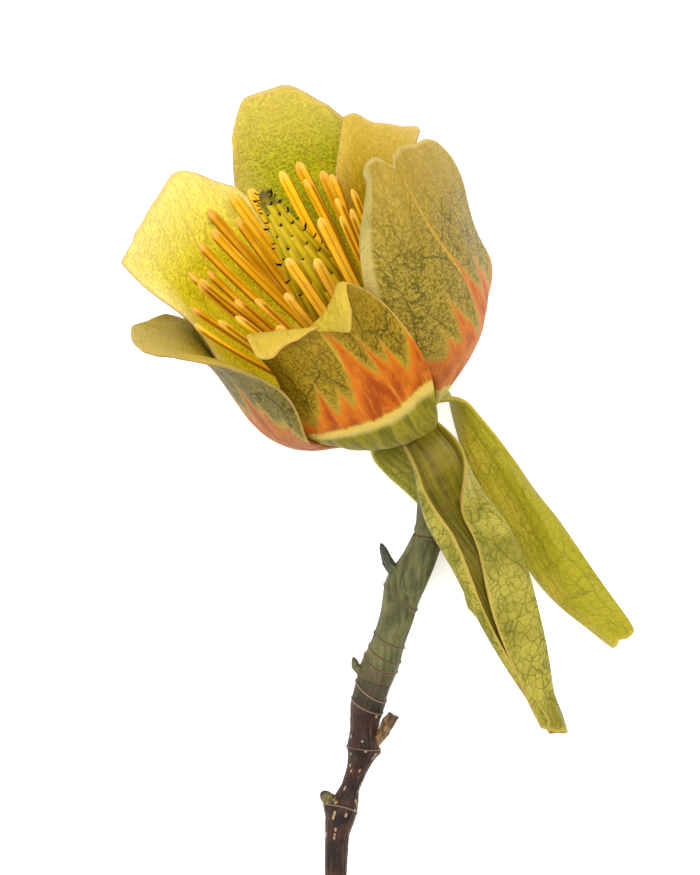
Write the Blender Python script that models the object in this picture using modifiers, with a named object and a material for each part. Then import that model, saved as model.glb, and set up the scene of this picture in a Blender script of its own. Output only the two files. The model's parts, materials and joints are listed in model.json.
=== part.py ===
"""A cut flowering twig of the tulip tree, lying on a level surface.

Metres, +Z up. +Y runs roughly up the twig, from its cut end to the flower. The flower leans back
on the bellies of its rear petals, and the twig slopes down from it to its cut end.
"""

import math
from dataclasses import dataclass

import bmesh
import bpy
import numpy as np

MM = 0.001

# The flower's frame: its seat is the middle of the ring on which the petals stand.
SEAT = np.array((6.6, 3.3, 10.2)) * MM
AXIS_RISE = math.radians(32)
AXIS_HEADING = math.radians(122.8)

UP = np.array(
    (
        math.cos(AXIS_RISE) * math.cos(AXIS_HEADING),
        math.cos(AXIS_RISE) * math.sin(AXIS_HEADING),
        math.sin(AXIS_RISE),
    )
)
RIGHT = np.array((math.sin(AXIS_HEADING), -math.cos(AXIS_HEADING), 0.0))
FRONT = np.cross(RIGHT, UP)

PETAL_THICKNESS = 0.7 * MM
PETAL_SEAT_RADIUS = 4.6 * MM

BLADE_COLUMNS = 12
BLADE_ROWS = 16
BLADE_SETTLES = 0.3
SPINE_STEPS = 240
SPINE_OVERRUN = 1.05
SECTION_STEPS = 24
TIGHTEST_CUP = 3.0 * MM


@dataclass
class Blade:
    """A petal or a sepal. Lengths are in metres, angles in degrees, and shares run from foot to tip.

    azimuth goes round the flower's axis from the front towards the right, and lean is measured
    from that axis outwards. A margin turn above 0 folds it inwards, below 0 it curls outwards.
    A nudge shifts the blade round (across, along) by millimetres aside and onward, and fades out.
    """

    name: str
    azimuth: float
    length: float
    width: float
    claw: float = 5.1 * MM
    widest: float = 0.6
    top_width: float = 0.72
    crown: float = 0.16
    crown_power: float = 3.0
    slant: float = 0.0
    notch: float = 0.0
    notch_at: float = 0.0
    notch_width: float = 0.12
    seat_radius: float = PETAL_SEAT_RADIUS
    seat_height: float = 0.0
    foot_lean: float = 58.0
    wall_lean: float = 8.0
    shoulder: float = 0.18
    shoulder_end: float = 0.46
    tip_lean: float = 8.0
    flare_from: float = 0.7
    roll: float = 0.0
    roll_length: float = 0.0
    sway: float = 0.0
    sway_from: float = 0.0
    sway_end: float = 0.4
    twist: float = 0.0
    stand_out: float = 0.0
    cup_left: float = 1.0
    cup_right: float = 1.0
    turn_left: float = 0.0
    turn_right: float = 0.0
    flap_left: float = 4.0 * MM
    flap_right: float = 4.0 * MM
    flap_bend: float = 4.0 * MM
    turn_from: float = 0.3
    turn_end: float = 0.55
    nudges: tuple = ()
    nudge_wide: float = 0.35
    nudge_long: float = 0.16


PETALS = (
    Blade(
        "petal_front", -17, 34.4 * MM, 20.8 * MM,
        foot_lean=57, wall_lean=-3, tip_lean=-3, stand_out=0.8 * MM,
        roll=170, roll_length=5 * MM, crown=0.06, slant=-0.04, top_width=0.7,
        widest=0.45, cup_left=1.2, cup_right=3.0, twist=7,
        nudge_wide=0.45,
        nudge_long=0.16,
        nudges=(
            (-1, 1, 1, 0.7), (0, 1, -0.2, -1.6), (0.5, 1, -0.3, -3), (-0.5, 1, 0.7, -0.8),
            (0.5, 0.9, 0.8, 3.4), (-0.5, 0.9, -1.3, -0.4), (1, 1, -0.7, 1.7),
            (-1, 0.9, -1.5, -0.7), (0, 0.9, -0.3, 1), (1, 0.9, -0.4, 2.8), (1, 0.8, 0.3, 1.9),
            (1, 0.65, 0.5, 2.3), (1, 0.5, 0.1, 1.2), (1, 0.35, -0.2, 2.6),
        ),
    ),
    Blade(
        "petal_right", 57, 45 * MM, 26.0 * MM, claw=4.0 * MM, widest=0.5,
        foot_lean=60, wall_lean=9, tip_lean=-8, flare_from=0.75, twist=12,
        cup_left=0.6, cup_right=0.9,
        notch=0.05, notch_at=-0.45, top_width=0.76, crown=0.05, slant=-0.05, stand_out=-1.0 * MM,
        turn_left=-60, flap_left=2.5 * MM, flap_bend=3 * MM, turn_from=0.62, turn_end=0.85,
        nudge_wide=0.3,
        nudge_long=0.14,
        nudges=(
            (-1, 1, 3.4, 0.7), (-0.75, 1, 2, 0.3), (-0.5, 1, 2, 1.8), (-0.25, 1, 1.1, -1.3),
            (0, 1, 0.6, 1), (0.25, 1, -0.2, -0.3), (0.75, 1, 0.3, 0.2), (1, 1, 0.2, -1.2),
            (1, 0.9, 0.1, -0.9), (1, 0.8, 0.3, -1.1), (1, 0.65, 1.4, -1.2), (1, 0.5, 1.1, -1.4),
            (1, 0.35, 2.2, -0.9), (1, 0.2, -0.1, 0.9), (-1, 0.9, 0.9, 1.3), (-1, 0.8, -0.4, 1.8),
            (-1, 0.65, -0.4, 2.7), (-1, 0.5, -0.3, 1.9), (0, 0.8, -0.1, 0.7),
        ),
    ),
    Blade(
        "petal_back_right", 101, 38.5 * MM, 20.5 * MM, claw=4.4 * MM,
        foot_lean=50, wall_lean=3, tip_lean=54, flare_from=0.6, stand_out=-2.5 * MM,
        seat_height=0.8 * MM, top_width=0.98, crown=0.08,
        nudge_wide=0.35,
        nudge_long=0.16,
        nudges=(
            (1, 1, 0.6, 0.1), (0.75, 1, 0.8, -1.1), (0.5, 1, 0.4, -1.2), (0.25, 1, -0.1, -0.7),
            (0, 1, -0.5, -0.2), (-0.25, 1, -0.7, 0.2), (-0.5, 1, -0.9, 0.4),
            (-0.75, 1, -0.5, 0.2), (-1, 1, 0.1, 0.5), (1, 0.9, -1, 0.7), (1, 0.8, -1.8, 1.8),
        ),
    ),
    Blade(
        "petal_back", 155, 45.5 * MM, 24 * MM,
        foot_lean=58, wall_lean=7, tip_lean=9, crown=0.12, slant=0.04, stand_out=1.0 * MM,
        top_width=0.74,
        nudge_wide=0.35,
        nudge_long=0.16,
        nudges=(
            (-1, 1, 1.8, 0.3), (-0.75, 1, 0, -1.3), (-0.5, 1, -0.1, -1.3), (0, 1, -0.9, 0.8),
            (0.5, 1, 0.4, -0.3), (0.75, 1, -0.8, 0.9), (1, 1, -1, -0.3), (1, 0.9, 1.7, 0.1),
            (-1, 0.8, -0.3, 0.2),
        ),
    ),
    Blade(
        "petal_back_left", -136, 42.4 * MM, 26.6 * MM,
        foot_lean=53, wall_lean=6, tip_lean=10, seat_height=0.8 * MM, top_width=0.96,
        crown=0.06, slant=0.1, stand_out=-0.7 * MM,
        turn_right=-30, flap_right=5 * MM, flap_bend=5 * MM, turn_from=0.7, turn_end=1.0,
        nudge_wide=0.35,
        nudge_long=0.16,
        nudges=(
            (-1, 1, 2.2, 0), (-0.5, 1, -1.1, 0.6), (-0.25, 1, -1.2, 0.8), (0, 1, -1.3, 0.3),
            (0.25, 1, -1.3, -0.4), (0.5, 1, -0.9, -0.6), (0.75, 1, 0, -0.5), (1, 1, 0.4, -0.6),
            (1, 0.9, -0.4, -0.2), (1, 0.8, -0.5, 0),
        ),
    ),
    Blade(
        "petal_left", -79, 41 * MM, 23 * MM,
        foot_lean=54, wall_lean=4, tip_lean=62, flare_from=0.6, sway=-10, sway_from=0.6, sway_end=1,
        turn_right=-100, flap_right=3 * MM, turn_from=0.55, turn_end=0.85, stand_out=1.0 * MM, crown=0.22, top_width=0.6,
        nudge_wide=0.35,
        nudge_long=0.16,
        nudges=(
            (-1, 1, -0.1, 1.3), (-0.75, 1, -1.3, 0), (-0.5, 1, -2.5, -1.1), (-0.25, 1, -2.2, -1),
            (0, 1, -1.3, -0.4), (0.25, 1, -0.6, -0.1), (0.5, 1, 0.1, -1.1), (0.75, 1, 0, -0.7),
            (1, 1, -1, 1.7), (-1, 0.9, 0.4, -0.2),
        ),
    ),
)

SEPALS = (
    Blade(
        "sepal_front", 20, 44.0 * MM, 18 * MM, seat_radius=4.5 * MM, seat_height=-1.8 * MM,
        foot_lean=120, wall_lean=163, tip_lean=160, shoulder=0.0, shoulder_end=0.12,
        sway=-16, sway_end=0.2, claw=7.5 * MM, widest=0.5, top_width=0.5, crown=0.05, twist=-10,
        turn_left=150, turn_right=165, flap_left=3.5 * MM, flap_right=6.5 * MM, flap_bend=4 * MM,
        turn_from=0.04, turn_end=0.35, cup_left=3, cup_right=3,
        nudge_wide=0.5,
        nudge_long=0.16,
        nudges=(
            (1, 0.1, -2.1, -1.3), (1, 0.2, -1.2, -0.7), (1, 0.35, 0.3, -0.3),
            (1, 0.5, -1.7, -0.5), (1, 0.65, -2.4, -0.8), (1, 0.8, -0.9, -0.5),
            (-1, 0.2, -0.3, 0.2), (-1, 0.35, 0.7, -0.4), (-1, 0.5, 1.4, -1),
            (-1, 0.65, 0.3, -0.4), (1, 1, 0.2, 0.7), (0, 1, -0.4, 0.2), (-1, 1, -0.2, 0.4),
            (-0.5, 0.1, -2.2, 0), (-0.5, 0.28, -1.6, 0),
        ),
    ),
    Blade(
        "sepal_right", 98, 42 * MM, 13 * MM, seat_radius=4.5 * MM, seat_height=-1.4 * MM,
        foot_lean=115, wall_lean=188, tip_lean=174, shoulder=0.0, shoulder_end=0.12,
        sway=-27, sway_end=0.2, claw=6 * MM, widest=0.5, top_width=0.5, crown=0.05, twist=35,
        turn_left=110, turn_right=110, flap_left=4 * MM, flap_right=4 * MM, flap_bend=4 * MM,
        turn_from=0.12, turn_end=0.5, cup_left=3, cup_right=3,
        nudge_wide=0.5,
        nudge_long=0.18,
        nudges=(
            (-1, 0.2, 1.1, -0.3), (-1, 0.35, 1.6, 0.8), (-1, 0.5, 0.2, 0.8),
            (-1, 0.65, 0.7, -0.8), (-1, 0.8, -0.6, -0.6), (-1, 0.9, -1.6, 1), (-1, 1, -1.7, 1.2),
            (0, 0.5, -0.1, -0.4), (0, 0.65, 0.2, 0.8), (0, 0.8, 0.4, 0.3), (0, 0.9, -0.8, -0.5),
            (0, 1, -1.9, -0.1), (1, 1, -1.6, 1.3),
        ),
    ),
    Blade(
        "sepal_left", -130, 31 * MM, 9 * MM, seat_radius=4.0 * MM, seat_height=-2.2 * MM,
        foot_lean=135, wall_lean=215, tip_lean=176, shoulder=0.0, shoulder_end=0.16,
        flare_from=0.2, sway=36, sway_from=0.28, sway_end=0.56, twist=-40,
        claw=4.5 * MM, widest=0.45, top_width=0.5, crown=0.05,
        turn_left=30, turn_right=30, flap_left=4 * MM, flap_right=4 * MM, flap_bend=4 * MM,
        turn_from=0.3, turn_end=0.6, cup_left=3, cup_right=3,
    ),
)

# The pistil stands on the seat's column, and the stamens spring from that column.
TURNED_SIDES = 20
RECEPTACLE = (
    (0.0, 7.0), (2.5, 6.8), (2.6, 2.4), (3.2, 1.6), (3.85, 1.0), (3.9, -1.0),
    (3.8, -1.9), (2.9, -2.9), (2.2, -3.4), (0.0, -3.4),
)
PISTIL = (
    (0.0, 38.6), (0.7, 38.3), (1.05, 37.0), (1.35, 34.5), (2.2, 30.5), (3.1, 26.0),
    (3.8, 20.5), (4.0, 16.0), (3.4, 11.0), (2.5, 7.6), (0.0, 7.4),
)

STAMENS = (
    # azimuth and height of the foot, azimuth of the tip, its reach out and up: degrees, millimetres
    (180, 2.6, -167, 14.3, 33.2), (-176, 6.1, -173, 8.2, 35.5), (-156, 2.6, -155, 16.2, 32.6),
    (-142, 6.3, -144, 7.6, 34.0), (-166, 4.2, -140, 12.3, 32.7), (-138, 4.4, -124, 12.3, 33.6),
    (-108, 2.6, -112, 14.2, 31.6), (-132, 2.6, -123, 13.5, 29.1), (-92, 5.2, -87, 12.3, 33.2),
    (-113, 4.4, -97, 13.1, 31.5), (-87, 3.2, -90, 15.3, 30.1), (-65, 2.7, -81, 16.2, 29.2),
    (-48, 3.9, -67, 14.4, 29.5), (-30, 2.6, -54.5, 13.6, 30.0), (-70, 4.6, -68, 10.8, 29.8),
    (-53, 5.8, -50, 10.1, 29.8), (-10, 4.0, -23, 11.2, 30.2), (-16, 6.3, -14, 7.3, 32.6),
    (8, 5.2, 6, 9.6, 31.8), (152, 3.4, 151, 12.9, 33.3), (165, 5.0, 158, 9.8, 34.6),
    (143, 5.7, 138, 8.6, 33.2), (130, 3.9, 135, 11.6, 31.9), (121, 5.7, 112, 9.3, 33.3),
    (85, 4.2, 85, 9.8, 32.3), (99, 6.1, 96, 7.7, 31.5), (57, 4.8, 54, 10.0, 32.9),
    (72, 6.2, 63, 7.7, 31.4), (40, 6.1, 34, 7.5, 34.5), (11, 3.3, -8, 12.0, 26.0),
    (31, 4.1, 40, 11.0, 27.0), (-29, 4.8, -38, 12.0, 26.5),
)
STAMEN_SEAT_RADIUS = 3.0
STAMEN_STEPS = 7
STAMEN_SIDES = 6
STAMEN_KNEE = np.array((0.5, 0.5, 0.28))
ANTHER_FROM = 0.26
ANTHER_FULL = 0.42
ANTHER_TIP = 0.55
ANTHER_WIDTH = 1.7 * MM
ANTHER_THICKNESS = 0.85 * MM
FILAMENT_WIDTH = 1.0 * MM
FILAMENT_THICKNESS = 0.6 * MM

# The stem's three lengths: points on its middle line, each with its radius, in millimetres.
STEM_RING_CUTS = 3
STEM_SPAN_CUTS = 3
STALK = (
    (8.4, 0.5, 8.1, 2.1), (9.4, -1.1, 7.1, 1.95), (10.4, -5.5, 6.4, 1.75),
    (10.7, -10.0, 5.9, 1.7), (10.3, -12.8, 5.6, 1.85),
)
SHOOT = (
    (10.2, -13.3, 5.55, 1.95), (9.0, -16.2, 5.2, 2.2), (7.3, -19.0, 4.9, 2.7),
    (6.6, -21.5, 4.6, 2.3), (5.8, -24.6, 4.2, 2.15), (4.8, -27.6, 3.8, 2.15),
    (3.8, -30.0, 3.5, 2.45), (3.2, -31.9, 3.25, 2.4),
)
TWIG = (
    (3.05, -32.4, 3.2, 2.15), (2.3, -34.6, 2.95, 1.85), (1.8, -38.0, 2.6, 1.55),
    (1.8, -40.8, 2.45, 1.95), (1.1, -43.2, 2.3, 1.55), (-0.2, -46.6, 2.1, 1.6),
    (-1.5, -50.6, 1.95, 1.8), (-1.8, -54.0, 1.75, 1.6), (-1.85, -58.4, 1.55, 1.5),
)
BUDS = (
    # name, foot, tip, radius at the foot, the middle and the tip, in millimetres
    ("side_bud_upper", (5.2, -17.0, 5.4), (4.0, -13.8, 5.9), (0.75, 0.6, 0.35)),
    ("side_bud_middle", (0.85, -30.35, 3.75), (0.4, -28.8, 4.15), (0.5, 0.55, 0.2)),
    ("leaf_stub", (4.05, -39.3, 3.05), (5.6, -36.4, 3.75), (0.75, 0.7, 0.9)),
    ("side_bud_lower", (-2.6, -47.8, 2.6), (-3.8, -46.6, 3.0), (0.8, 0.85, 0.5)),
)


def ease(share):
    """A smooth step from 0 to 1."""
    share = np.clip(share, 0, 1)
    return share * share * (3 - 2 * share)


def to_world(out, along, round_, azimuth):
    """World points from distances out from the flower's axis, along it, and round it."""
    angle = math.radians(azimuth)
    outward = math.cos(angle) * FRONT + math.sin(angle) * RIGHT
    sideways = -math.sin(angle) * FRONT + math.cos(angle) * RIGHT
    return (
        SEAT
        + np.multiply.outer(out, outward)
        + np.multiply.outer(along, UP)
        + np.multiply.outer(round_, sideways)
    )


def spine_of(blade):
    """Points and directions down the middle of a blade, as columns (out, along, round)."""
    share = np.linspace(0, SPINE_OVERRUN, SPINE_STEPS + 1)
    lean = blade.foot_lean + (blade.wall_lean - blade.foot_lean) * ease(
        (share - blade.shoulder) / (blade.shoulder_end - blade.shoulder)
    )
    lean += (blade.tip_lean - blade.wall_lean) * ease(
        (share - blade.flare_from) / (1 - blade.flare_from)
    )
    if blade.roll_length:
        start = 1 - blade.roll_length / blade.length
        lean += blade.roll * np.maximum((share - start) / (1 - start), 0)
    lean = np.radians(lean)
    sway = np.radians(blade.sway) * ease(
        (share - blade.sway_from) / (blade.sway_end - blade.sway_from)
    )
    zero = np.zeros_like(share)
    forward = np.stack(
        (np.cos(sway) * np.sin(lean), np.cos(sway) * np.cos(lean), np.sin(sway)), 1
    )
    sideways = np.stack(
        (-np.sin(sway) * np.sin(lean), -np.sin(sway) * np.cos(lean), np.cos(sway)), 1
    )
    outward = np.stack((np.cos(lean), -np.sin(lean), zero), 1)
    step = blade.length * SPINE_OVERRUN / SPINE_STEPS
    middles = (forward[1:] + forward[:-1]) / 2 * step
    start = np.array((blade.seat_radius, blade.seat_height, 0.0))
    points = start + np.concatenate((np.zeros((1, 3)), np.cumsum(middles, 0)))
    return share, points, sideways, outward


def half_width(blade, share):
    """Half the blade's width at a share of its length."""
    growth = ease(share / blade.widest) ** 0.8
    taper = ease((share - blade.widest) / (1 - blade.widest))
    wide = blade.claw + (blade.width - blade.claw) * growth
    return wide * (1 - (1 - blade.top_width) * taper) / 2


def blade_points(blade, across, along):
    """World points of the blade's middle surface, for across from -1 to 1 and along from 0 to 1."""
    edge = np.abs(across)
    share = along * (
        1
        - blade.crown * edge**blade.crown_power
        + blade.slant * across
        - blade.notch * np.exp(-(((across - blade.notch_at) / blade.notch_width) ** 2))
    )
    table, points, sideways, outward = spine_of(blade)
    middle, side, out = (
        np.stack([np.interp(share, table, column[:, k]) for k in range(3)], 1)
        for column in (points, sideways, outward)
    )
    width = half_width(blade, share)
    reach = edge * width
    right = across > 0
    grown = ease(share / BLADE_SETTLES)
    cup = 1 + (np.where(right, blade.cup_right, blade.cup_left) - 1) * grown
    radius = cup * np.maximum(np.hypot(middle[:, 0], middle[:, 2]), TIGHTEST_CUP)
    turn = np.radians(np.where(right, blade.turn_right, blade.turn_left))
    turn = turn * ease((share - blade.turn_from) / (blade.turn_end - blade.turn_from))
    flap = np.where(right, blade.flap_right, blade.flap_left)
    steps = (np.arange(SECTION_STEPS) + 0.5) / SECTION_STEPS
    walk = reach[:, None] * steps
    bend = walk / radius[:, None] + turn[:, None] * ease(
        (walk - (width - flap)[:, None]) / blade.flap_bend
    )
    sideward = np.cos(bend).mean(1) * reach * np.sign(across)
    inward = np.sin(bend).mean(1) * reach
    middle = middle + out * (blade.stand_out * grown)[:, None]
    twist = np.radians(blade.twist) * grown
    turned_side = np.cos(twist)[:, None] * side + np.sin(twist)[:, None] * out
    turned_out = -np.sin(twist)[:, None] * side + np.cos(twist)[:, None] * out
    local = middle + turned_side * sideward[:, None] - turned_out * inward[:, None]
    ahead = np.cross(turned_side, turned_out)
    for at_across, at_along, aside, forward in blade.nudges:
        away = ((across - at_across) / blade.nudge_wide) ** 2
        away = away + ((along - at_along) / blade.nudge_long) ** 2
        nudge = aside * MM * turned_side + forward * MM * ahead
        local = local + np.exp(-away)[:, None] * nudge
    return to_world(local[:, 0], local[:, 1], local[:, 2], blade.azimuth)


def material(name, colour, roughness):
    """A plain Principled material."""
    made = bpy.data.materials.get(name)
    if made:
        return made
    made = bpy.data.materials.new(name)
    made.use_nodes = True
    shader = made.node_tree.nodes["Principled BSDF"]
    shader.inputs["Base Color"].default_value = (*colour, 1)
    shader.inputs["Roughness"].default_value = roughness
    shader.inputs["Metallic"].default_value = 0.0
    made.diffuse_color = (*colour, 1)
    return made


def petal_material():
    return material("petal", (0.45, 0.44, 0.09), 0.5)


def sepal_material():
    return material("sepal", (0.42, 0.43, 0.12), 0.55)


def anther_material():
    return material("anther", (0.68, 0.38, 0.06), 0.55)


def pistil_material():
    return material("pistil", (0.40, 0.33, 0.05), 0.55)


def shoot_material():
    return material("green_shoot", (0.18, 0.22, 0.10), 0.6)


def bark_material():
    return material("brown_bark", (0.10, 0.055, 0.035), 0.5)


def bud_material():
    return material("bud", (0.20, 0.20, 0.06), 0.6)


def add_object(name, mesh, finish, collection):
    """An object for a mesh, with its material, in the flower's collection."""
    made = bpy.data.objects.new(name, mesh)
    made.data.materials.append(finish)
    collection.objects.link(made)
    return made


def make_blade(blade, finish, collection):
    """A petal or sepal: a grid bent to its surface, with its thickness put on evenly."""
    shape = bmesh.new()
    bmesh.ops.create_grid(shape, x_segments=BLADE_COLUMNS, y_segments=BLADE_ROWS, size=1)
    flat = np.array([vertex.co[:2] for vertex in shape.verts])
    placed = blade_points(blade, flat[:, 0], (flat[:, 1] + 1) / 2)
    for vertex, point in zip(shape.verts, placed):
        vertex.co = point
    bmesh.ops.recalc_face_normals(shape, faces=shape.faces)
    mesh = bpy.data.meshes.new(blade.name)
    shape.to_mesh(mesh)
    shape.free()
    mesh.shade_smooth()
    made = add_object(blade.name, mesh, finish, collection)
    wall = made.modifiers.new("thickness", "SOLIDIFY")
    wall.thickness = PETAL_THICKNESS
    wall.offset = 0
    return made


def loft(name, rings):
    """A closed mesh through rings of equal counts, capped at both ends."""
    shape = bmesh.new()
    rows = [[shape.verts.new(point) for point in ring] for ring in rings]
    count = len(rows[0])
    for lower, upper in zip(rows, rows[1:]):
        for k in range(count):
            after = (k + 1) % count
            shape.faces.new((lower[k], lower[after], upper[after], upper[k]))
    shape.faces.new(reversed(rows[0]))
    shape.faces.new(rows[-1])
    bmesh.ops.recalc_face_normals(shape, faces=shape.faces)
    mesh = bpy.data.meshes.new(name)
    shape.to_mesh(mesh)
    shape.free()
    return mesh


def make_turned(name, profile, finish, collection):
    """A turned piece on the flower's axis, from (radius, height) pairs that run from top to foot."""
    shape = bmesh.new()
    corners = [shape.verts.new((radius, 0, height)) for radius, height in profile]
    for upper, lower in zip(corners, corners[1:]):
        shape.edges.new((upper, lower))
    mesh = bpy.data.meshes.new(name)
    shape.to_mesh(mesh)
    shape.free()
    made = add_object(name, mesh, finish, collection)
    turn = made.modifiers.new("turn", "SCREW")
    turn.steps = TURNED_SIDES
    turn.render_steps = TURNED_SIDES
    turn.use_merge_vertices = True
    turn.merge_threshold = 0.01 * MM
    made.location = SEAT
    made.rotation_euler = (math.pi / 2 - AXIS_RISE, 0, AXIS_HEADING + math.pi / 2)
    return made


def round_the_axis(azimuth, out, up):
    """A point as distances to the front, to the right and up the flower's axis."""
    return np.array((out * math.cos(azimuth), out * math.sin(azimuth), up))


def stamen_rings(foot_azimuth, foot_height, tip_azimuth, tip_out, tip_up):
    """Rings along one stamen: a thin filament that widens into a long flat anther."""
    foot = round_the_axis(math.radians(foot_azimuth), STAMEN_SEAT_RADIUS, foot_height) * MM
    tip = round_the_axis(math.radians(tip_azimuth), tip_out, tip_up) * MM
    knee = foot + (tip - foot) * STAMEN_KNEE
    rings = []
    for step in range(STAMEN_STEPS + 1):
        share = step / STAMEN_STEPS
        middle = (1 - share) ** 2 * foot + 2 * share * (1 - share) * knee + share**2 * tip
        ahead = 2 * (1 - share) * (knee - foot) + 2 * share * (tip - knee)
        ahead /= np.linalg.norm(ahead)
        sideways = np.cross(ahead, middle * (1, 1, 0))
        sideways /= np.linalg.norm(sideways)
        outward = np.cross(sideways, ahead)
        anther = float(ease((share - ANTHER_FROM) / (ANTHER_FULL - ANTHER_FROM)))
        end = ANTHER_TIP if step == STAMEN_STEPS else 1.0
        width = end * (FILAMENT_WIDTH + (ANTHER_WIDTH - FILAMENT_WIDTH) * anther) / 2
        depth = end * (FILAMENT_THICKNESS + (ANTHER_THICKNESS - FILAMENT_THICKNESS) * anther) / 2
        turns = np.arange(STAMEN_SIDES) * math.tau / STAMEN_SIDES
        ring = (
            middle
            + np.multiply.outer(width * np.cos(turns), sideways)
            + np.multiply.outer(depth * np.sin(turns), outward)
        )
        rings.append(SEAT + ring @ np.array((FRONT, RIGHT, UP)))
    return rings


def make_stamens(collection):
    """Stamens round the pistil, placed one by one because they fan out unevenly."""
    for number, placing in enumerate(STAMENS, 1):
        name = f"stamen_{number:02d}"
        add_object(name, loft(name, stamen_rings(*placing)), anther_material(), collection)


def make_stem(name, points, finish, collection):
    """One length of the stem: a round tapering curve through its middle points."""
    data = bpy.data.curves.new(name, "CURVE")
    data.dimensions = "3D"
    data.bevel_depth = MM
    data.bevel_resolution = STEM_RING_CUTS
    data.resolution_u = STEM_SPAN_CUTS
    data.use_fill_caps = True
    line = data.splines.new("NURBS")
    line.points.add(len(points) - 1)
    for point, (x, y, z, radius) in zip(line.points, points):
        point.co = (x * MM, y * MM, z * MM, 1)
        point.radius = radius
    line.order_u = 3
    line.use_endpoint_u = True
    data.materials.append(finish)
    made = bpy.data.objects.new(name, data)
    collection.objects.link(made)
    return made


def make_bud(name, foot, tip, radii, finish, collection):
    """A bud or stub beside the stem, from its foot to its tip."""
    middle = [(a + b) / 2 for a, b in zip(foot, tip)]
    points = [(*foot, radii[0]), (*middle, radii[1]), (*tip, radii[2])]
    return make_stem(name, points, finish, collection)


def set_down(collection):
    """Moves the whole cutting so that it lies on the ground, centred on the origin."""
    bpy.context.view_layer.update()
    graph = bpy.context.evaluated_depsgraph_get()
    lowest = np.full(3, np.inf)
    highest = np.full(3, -np.inf)
    for piece in collection.objects:
        placed = piece.evaluated_get(graph)
        mesh = placed.to_mesh()
        corners = np.array([placed.matrix_world @ vertex.co for vertex in mesh.vertices])
        placed.to_mesh_clear()
        lowest = np.minimum(lowest, corners.min(0))
        highest = np.maximum(highest, corners.max(0))
    middle = (lowest + highest) / 2
    for piece in collection.objects:
        piece.location.x -= middle[0]
        piece.location.y -= middle[1]
        piece.location.z -= lowest[2]


def main():
    for old in list(bpy.data.objects):
        bpy.data.objects.remove(old)
    collection = bpy.data.collections.new("tulip_tree_flower")
    bpy.context.scene.collection.children.link(collection)
    for blade in PETALS:
        make_blade(blade, petal_material(), collection)
    for blade in SEPALS:
        make_blade(blade, sepal_material(), collection)
    receptacle = [(radius * MM, height * MM) for radius, height in RECEPTACLE]
    make_turned("receptacle", receptacle, sepal_material(), collection)
    pistil = [(radius * MM, height * MM) for radius, height in PISTIL]
    make_turned("pistil", pistil, pistil_material(), collection)
    make_stamens(collection)
    make_stem("flower_stalk", STALK, shoot_material(), collection)
    make_stem("green_shoot", SHOOT, shoot_material(), collection)
    make_stem("brown_twig", TWIG, bark_material(), collection)
    for name, foot, tip, radii in BUDS:
        make_bud(name, foot, tip, radii, bud_material(), collection)
    set_down(collection)


main()
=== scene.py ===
import json
import math
from types import SimpleNamespace

import bpy
import numpy as np
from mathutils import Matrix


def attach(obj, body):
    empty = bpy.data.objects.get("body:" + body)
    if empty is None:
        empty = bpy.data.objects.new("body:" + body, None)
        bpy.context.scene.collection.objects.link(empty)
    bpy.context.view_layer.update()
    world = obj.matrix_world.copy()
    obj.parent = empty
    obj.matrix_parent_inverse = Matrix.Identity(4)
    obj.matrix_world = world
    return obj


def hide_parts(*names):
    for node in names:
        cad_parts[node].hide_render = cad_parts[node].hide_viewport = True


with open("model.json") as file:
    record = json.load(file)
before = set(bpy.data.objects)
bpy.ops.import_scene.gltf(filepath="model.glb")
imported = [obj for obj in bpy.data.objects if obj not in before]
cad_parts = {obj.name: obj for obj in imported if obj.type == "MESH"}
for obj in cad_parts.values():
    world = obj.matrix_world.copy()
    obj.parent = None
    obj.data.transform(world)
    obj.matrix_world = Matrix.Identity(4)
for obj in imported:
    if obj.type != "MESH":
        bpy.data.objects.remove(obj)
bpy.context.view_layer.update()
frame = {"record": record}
bpy.ops.object.select_all(action="DESELECT")

# The twig lies on a level white table and is looked at from straight above. Its own drawing has
# the camera over the middle of the sheet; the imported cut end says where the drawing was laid.
MM = 0.001
DRAWN_CUT_END = np.array((-1.85, -58.4, 1.55)) * MM
LAID = np.array(frame["record"]["mounts"][0]["pos_m"]) - DRAWN_CUT_END

EYE_HEIGHT = 610 * MM
SHEET_HEIGHT = 113.75 * MM
SHEET_AWAY = 600 * MM
bpy.ops.object.camera_add(location=(LAID[0], LAID[1], EYE_HEIGHT + LAID[2]), rotation=(0, 0, 0))
camera = bpy.context.object
camera.name = "view from above"
camera.data.sensor_fit = "VERTICAL"
camera.data.sensor_height = 24
camera.data.lens = camera.data.sensor_height * SHEET_AWAY / SHEET_HEIGHT
camera.data.clip_start = 0.01
camera.data.clip_end = 10
bpy.context.scene.camera = camera

# A white studio: an even pale sky, one broad lamp high over the flower and a weak one low on the left.
studio = bpy.data.worlds.new("studio")
studio.use_nodes = True
studio.node_tree.nodes["Background"].inputs["Color"].default_value = (1, 1, 1, 1)
studio.node_tree.nodes["Background"].inputs["Strength"].default_value = 0.9
bpy.context.scene.world = studio
bpy.context.scene.view_settings.view_transform = "Standard"
for lamp_name, lamp_at, lamp_size, lamp_power in (
    ("broad lamp", (0.02, 0.22, 0.85), 0.45, 5.6),
    ("weak lamp", (-0.6, -0.45, 0.6), 0.5, 1.8),
):
    aim = math.atan2(math.hypot(lamp_at[0], lamp_at[1]), lamp_at[2])
    heading = math.atan2(lamp_at[1], lamp_at[0]) + math.pi / 2
    bpy.ops.object.light_add(type="AREA", location=lamp_at, rotation=(aim, 0, heading))
    bpy.context.object.name = lamp_name
    bpy.context.object.data.size = lamp_size
    bpy.context.object.data.energy = lamp_power


def paint(code):
    """The linear colour of a paint that is written as six hexadecimal digits."""
    shares = [int(code[k : k + 2], 16) / 255 for k in (0, 2, 4)]
    return (*(s / 12.92 if s < 0.04045 else ((s + 0.055) / 1.055) ** 2.4 for s in shares), 1)


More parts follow.
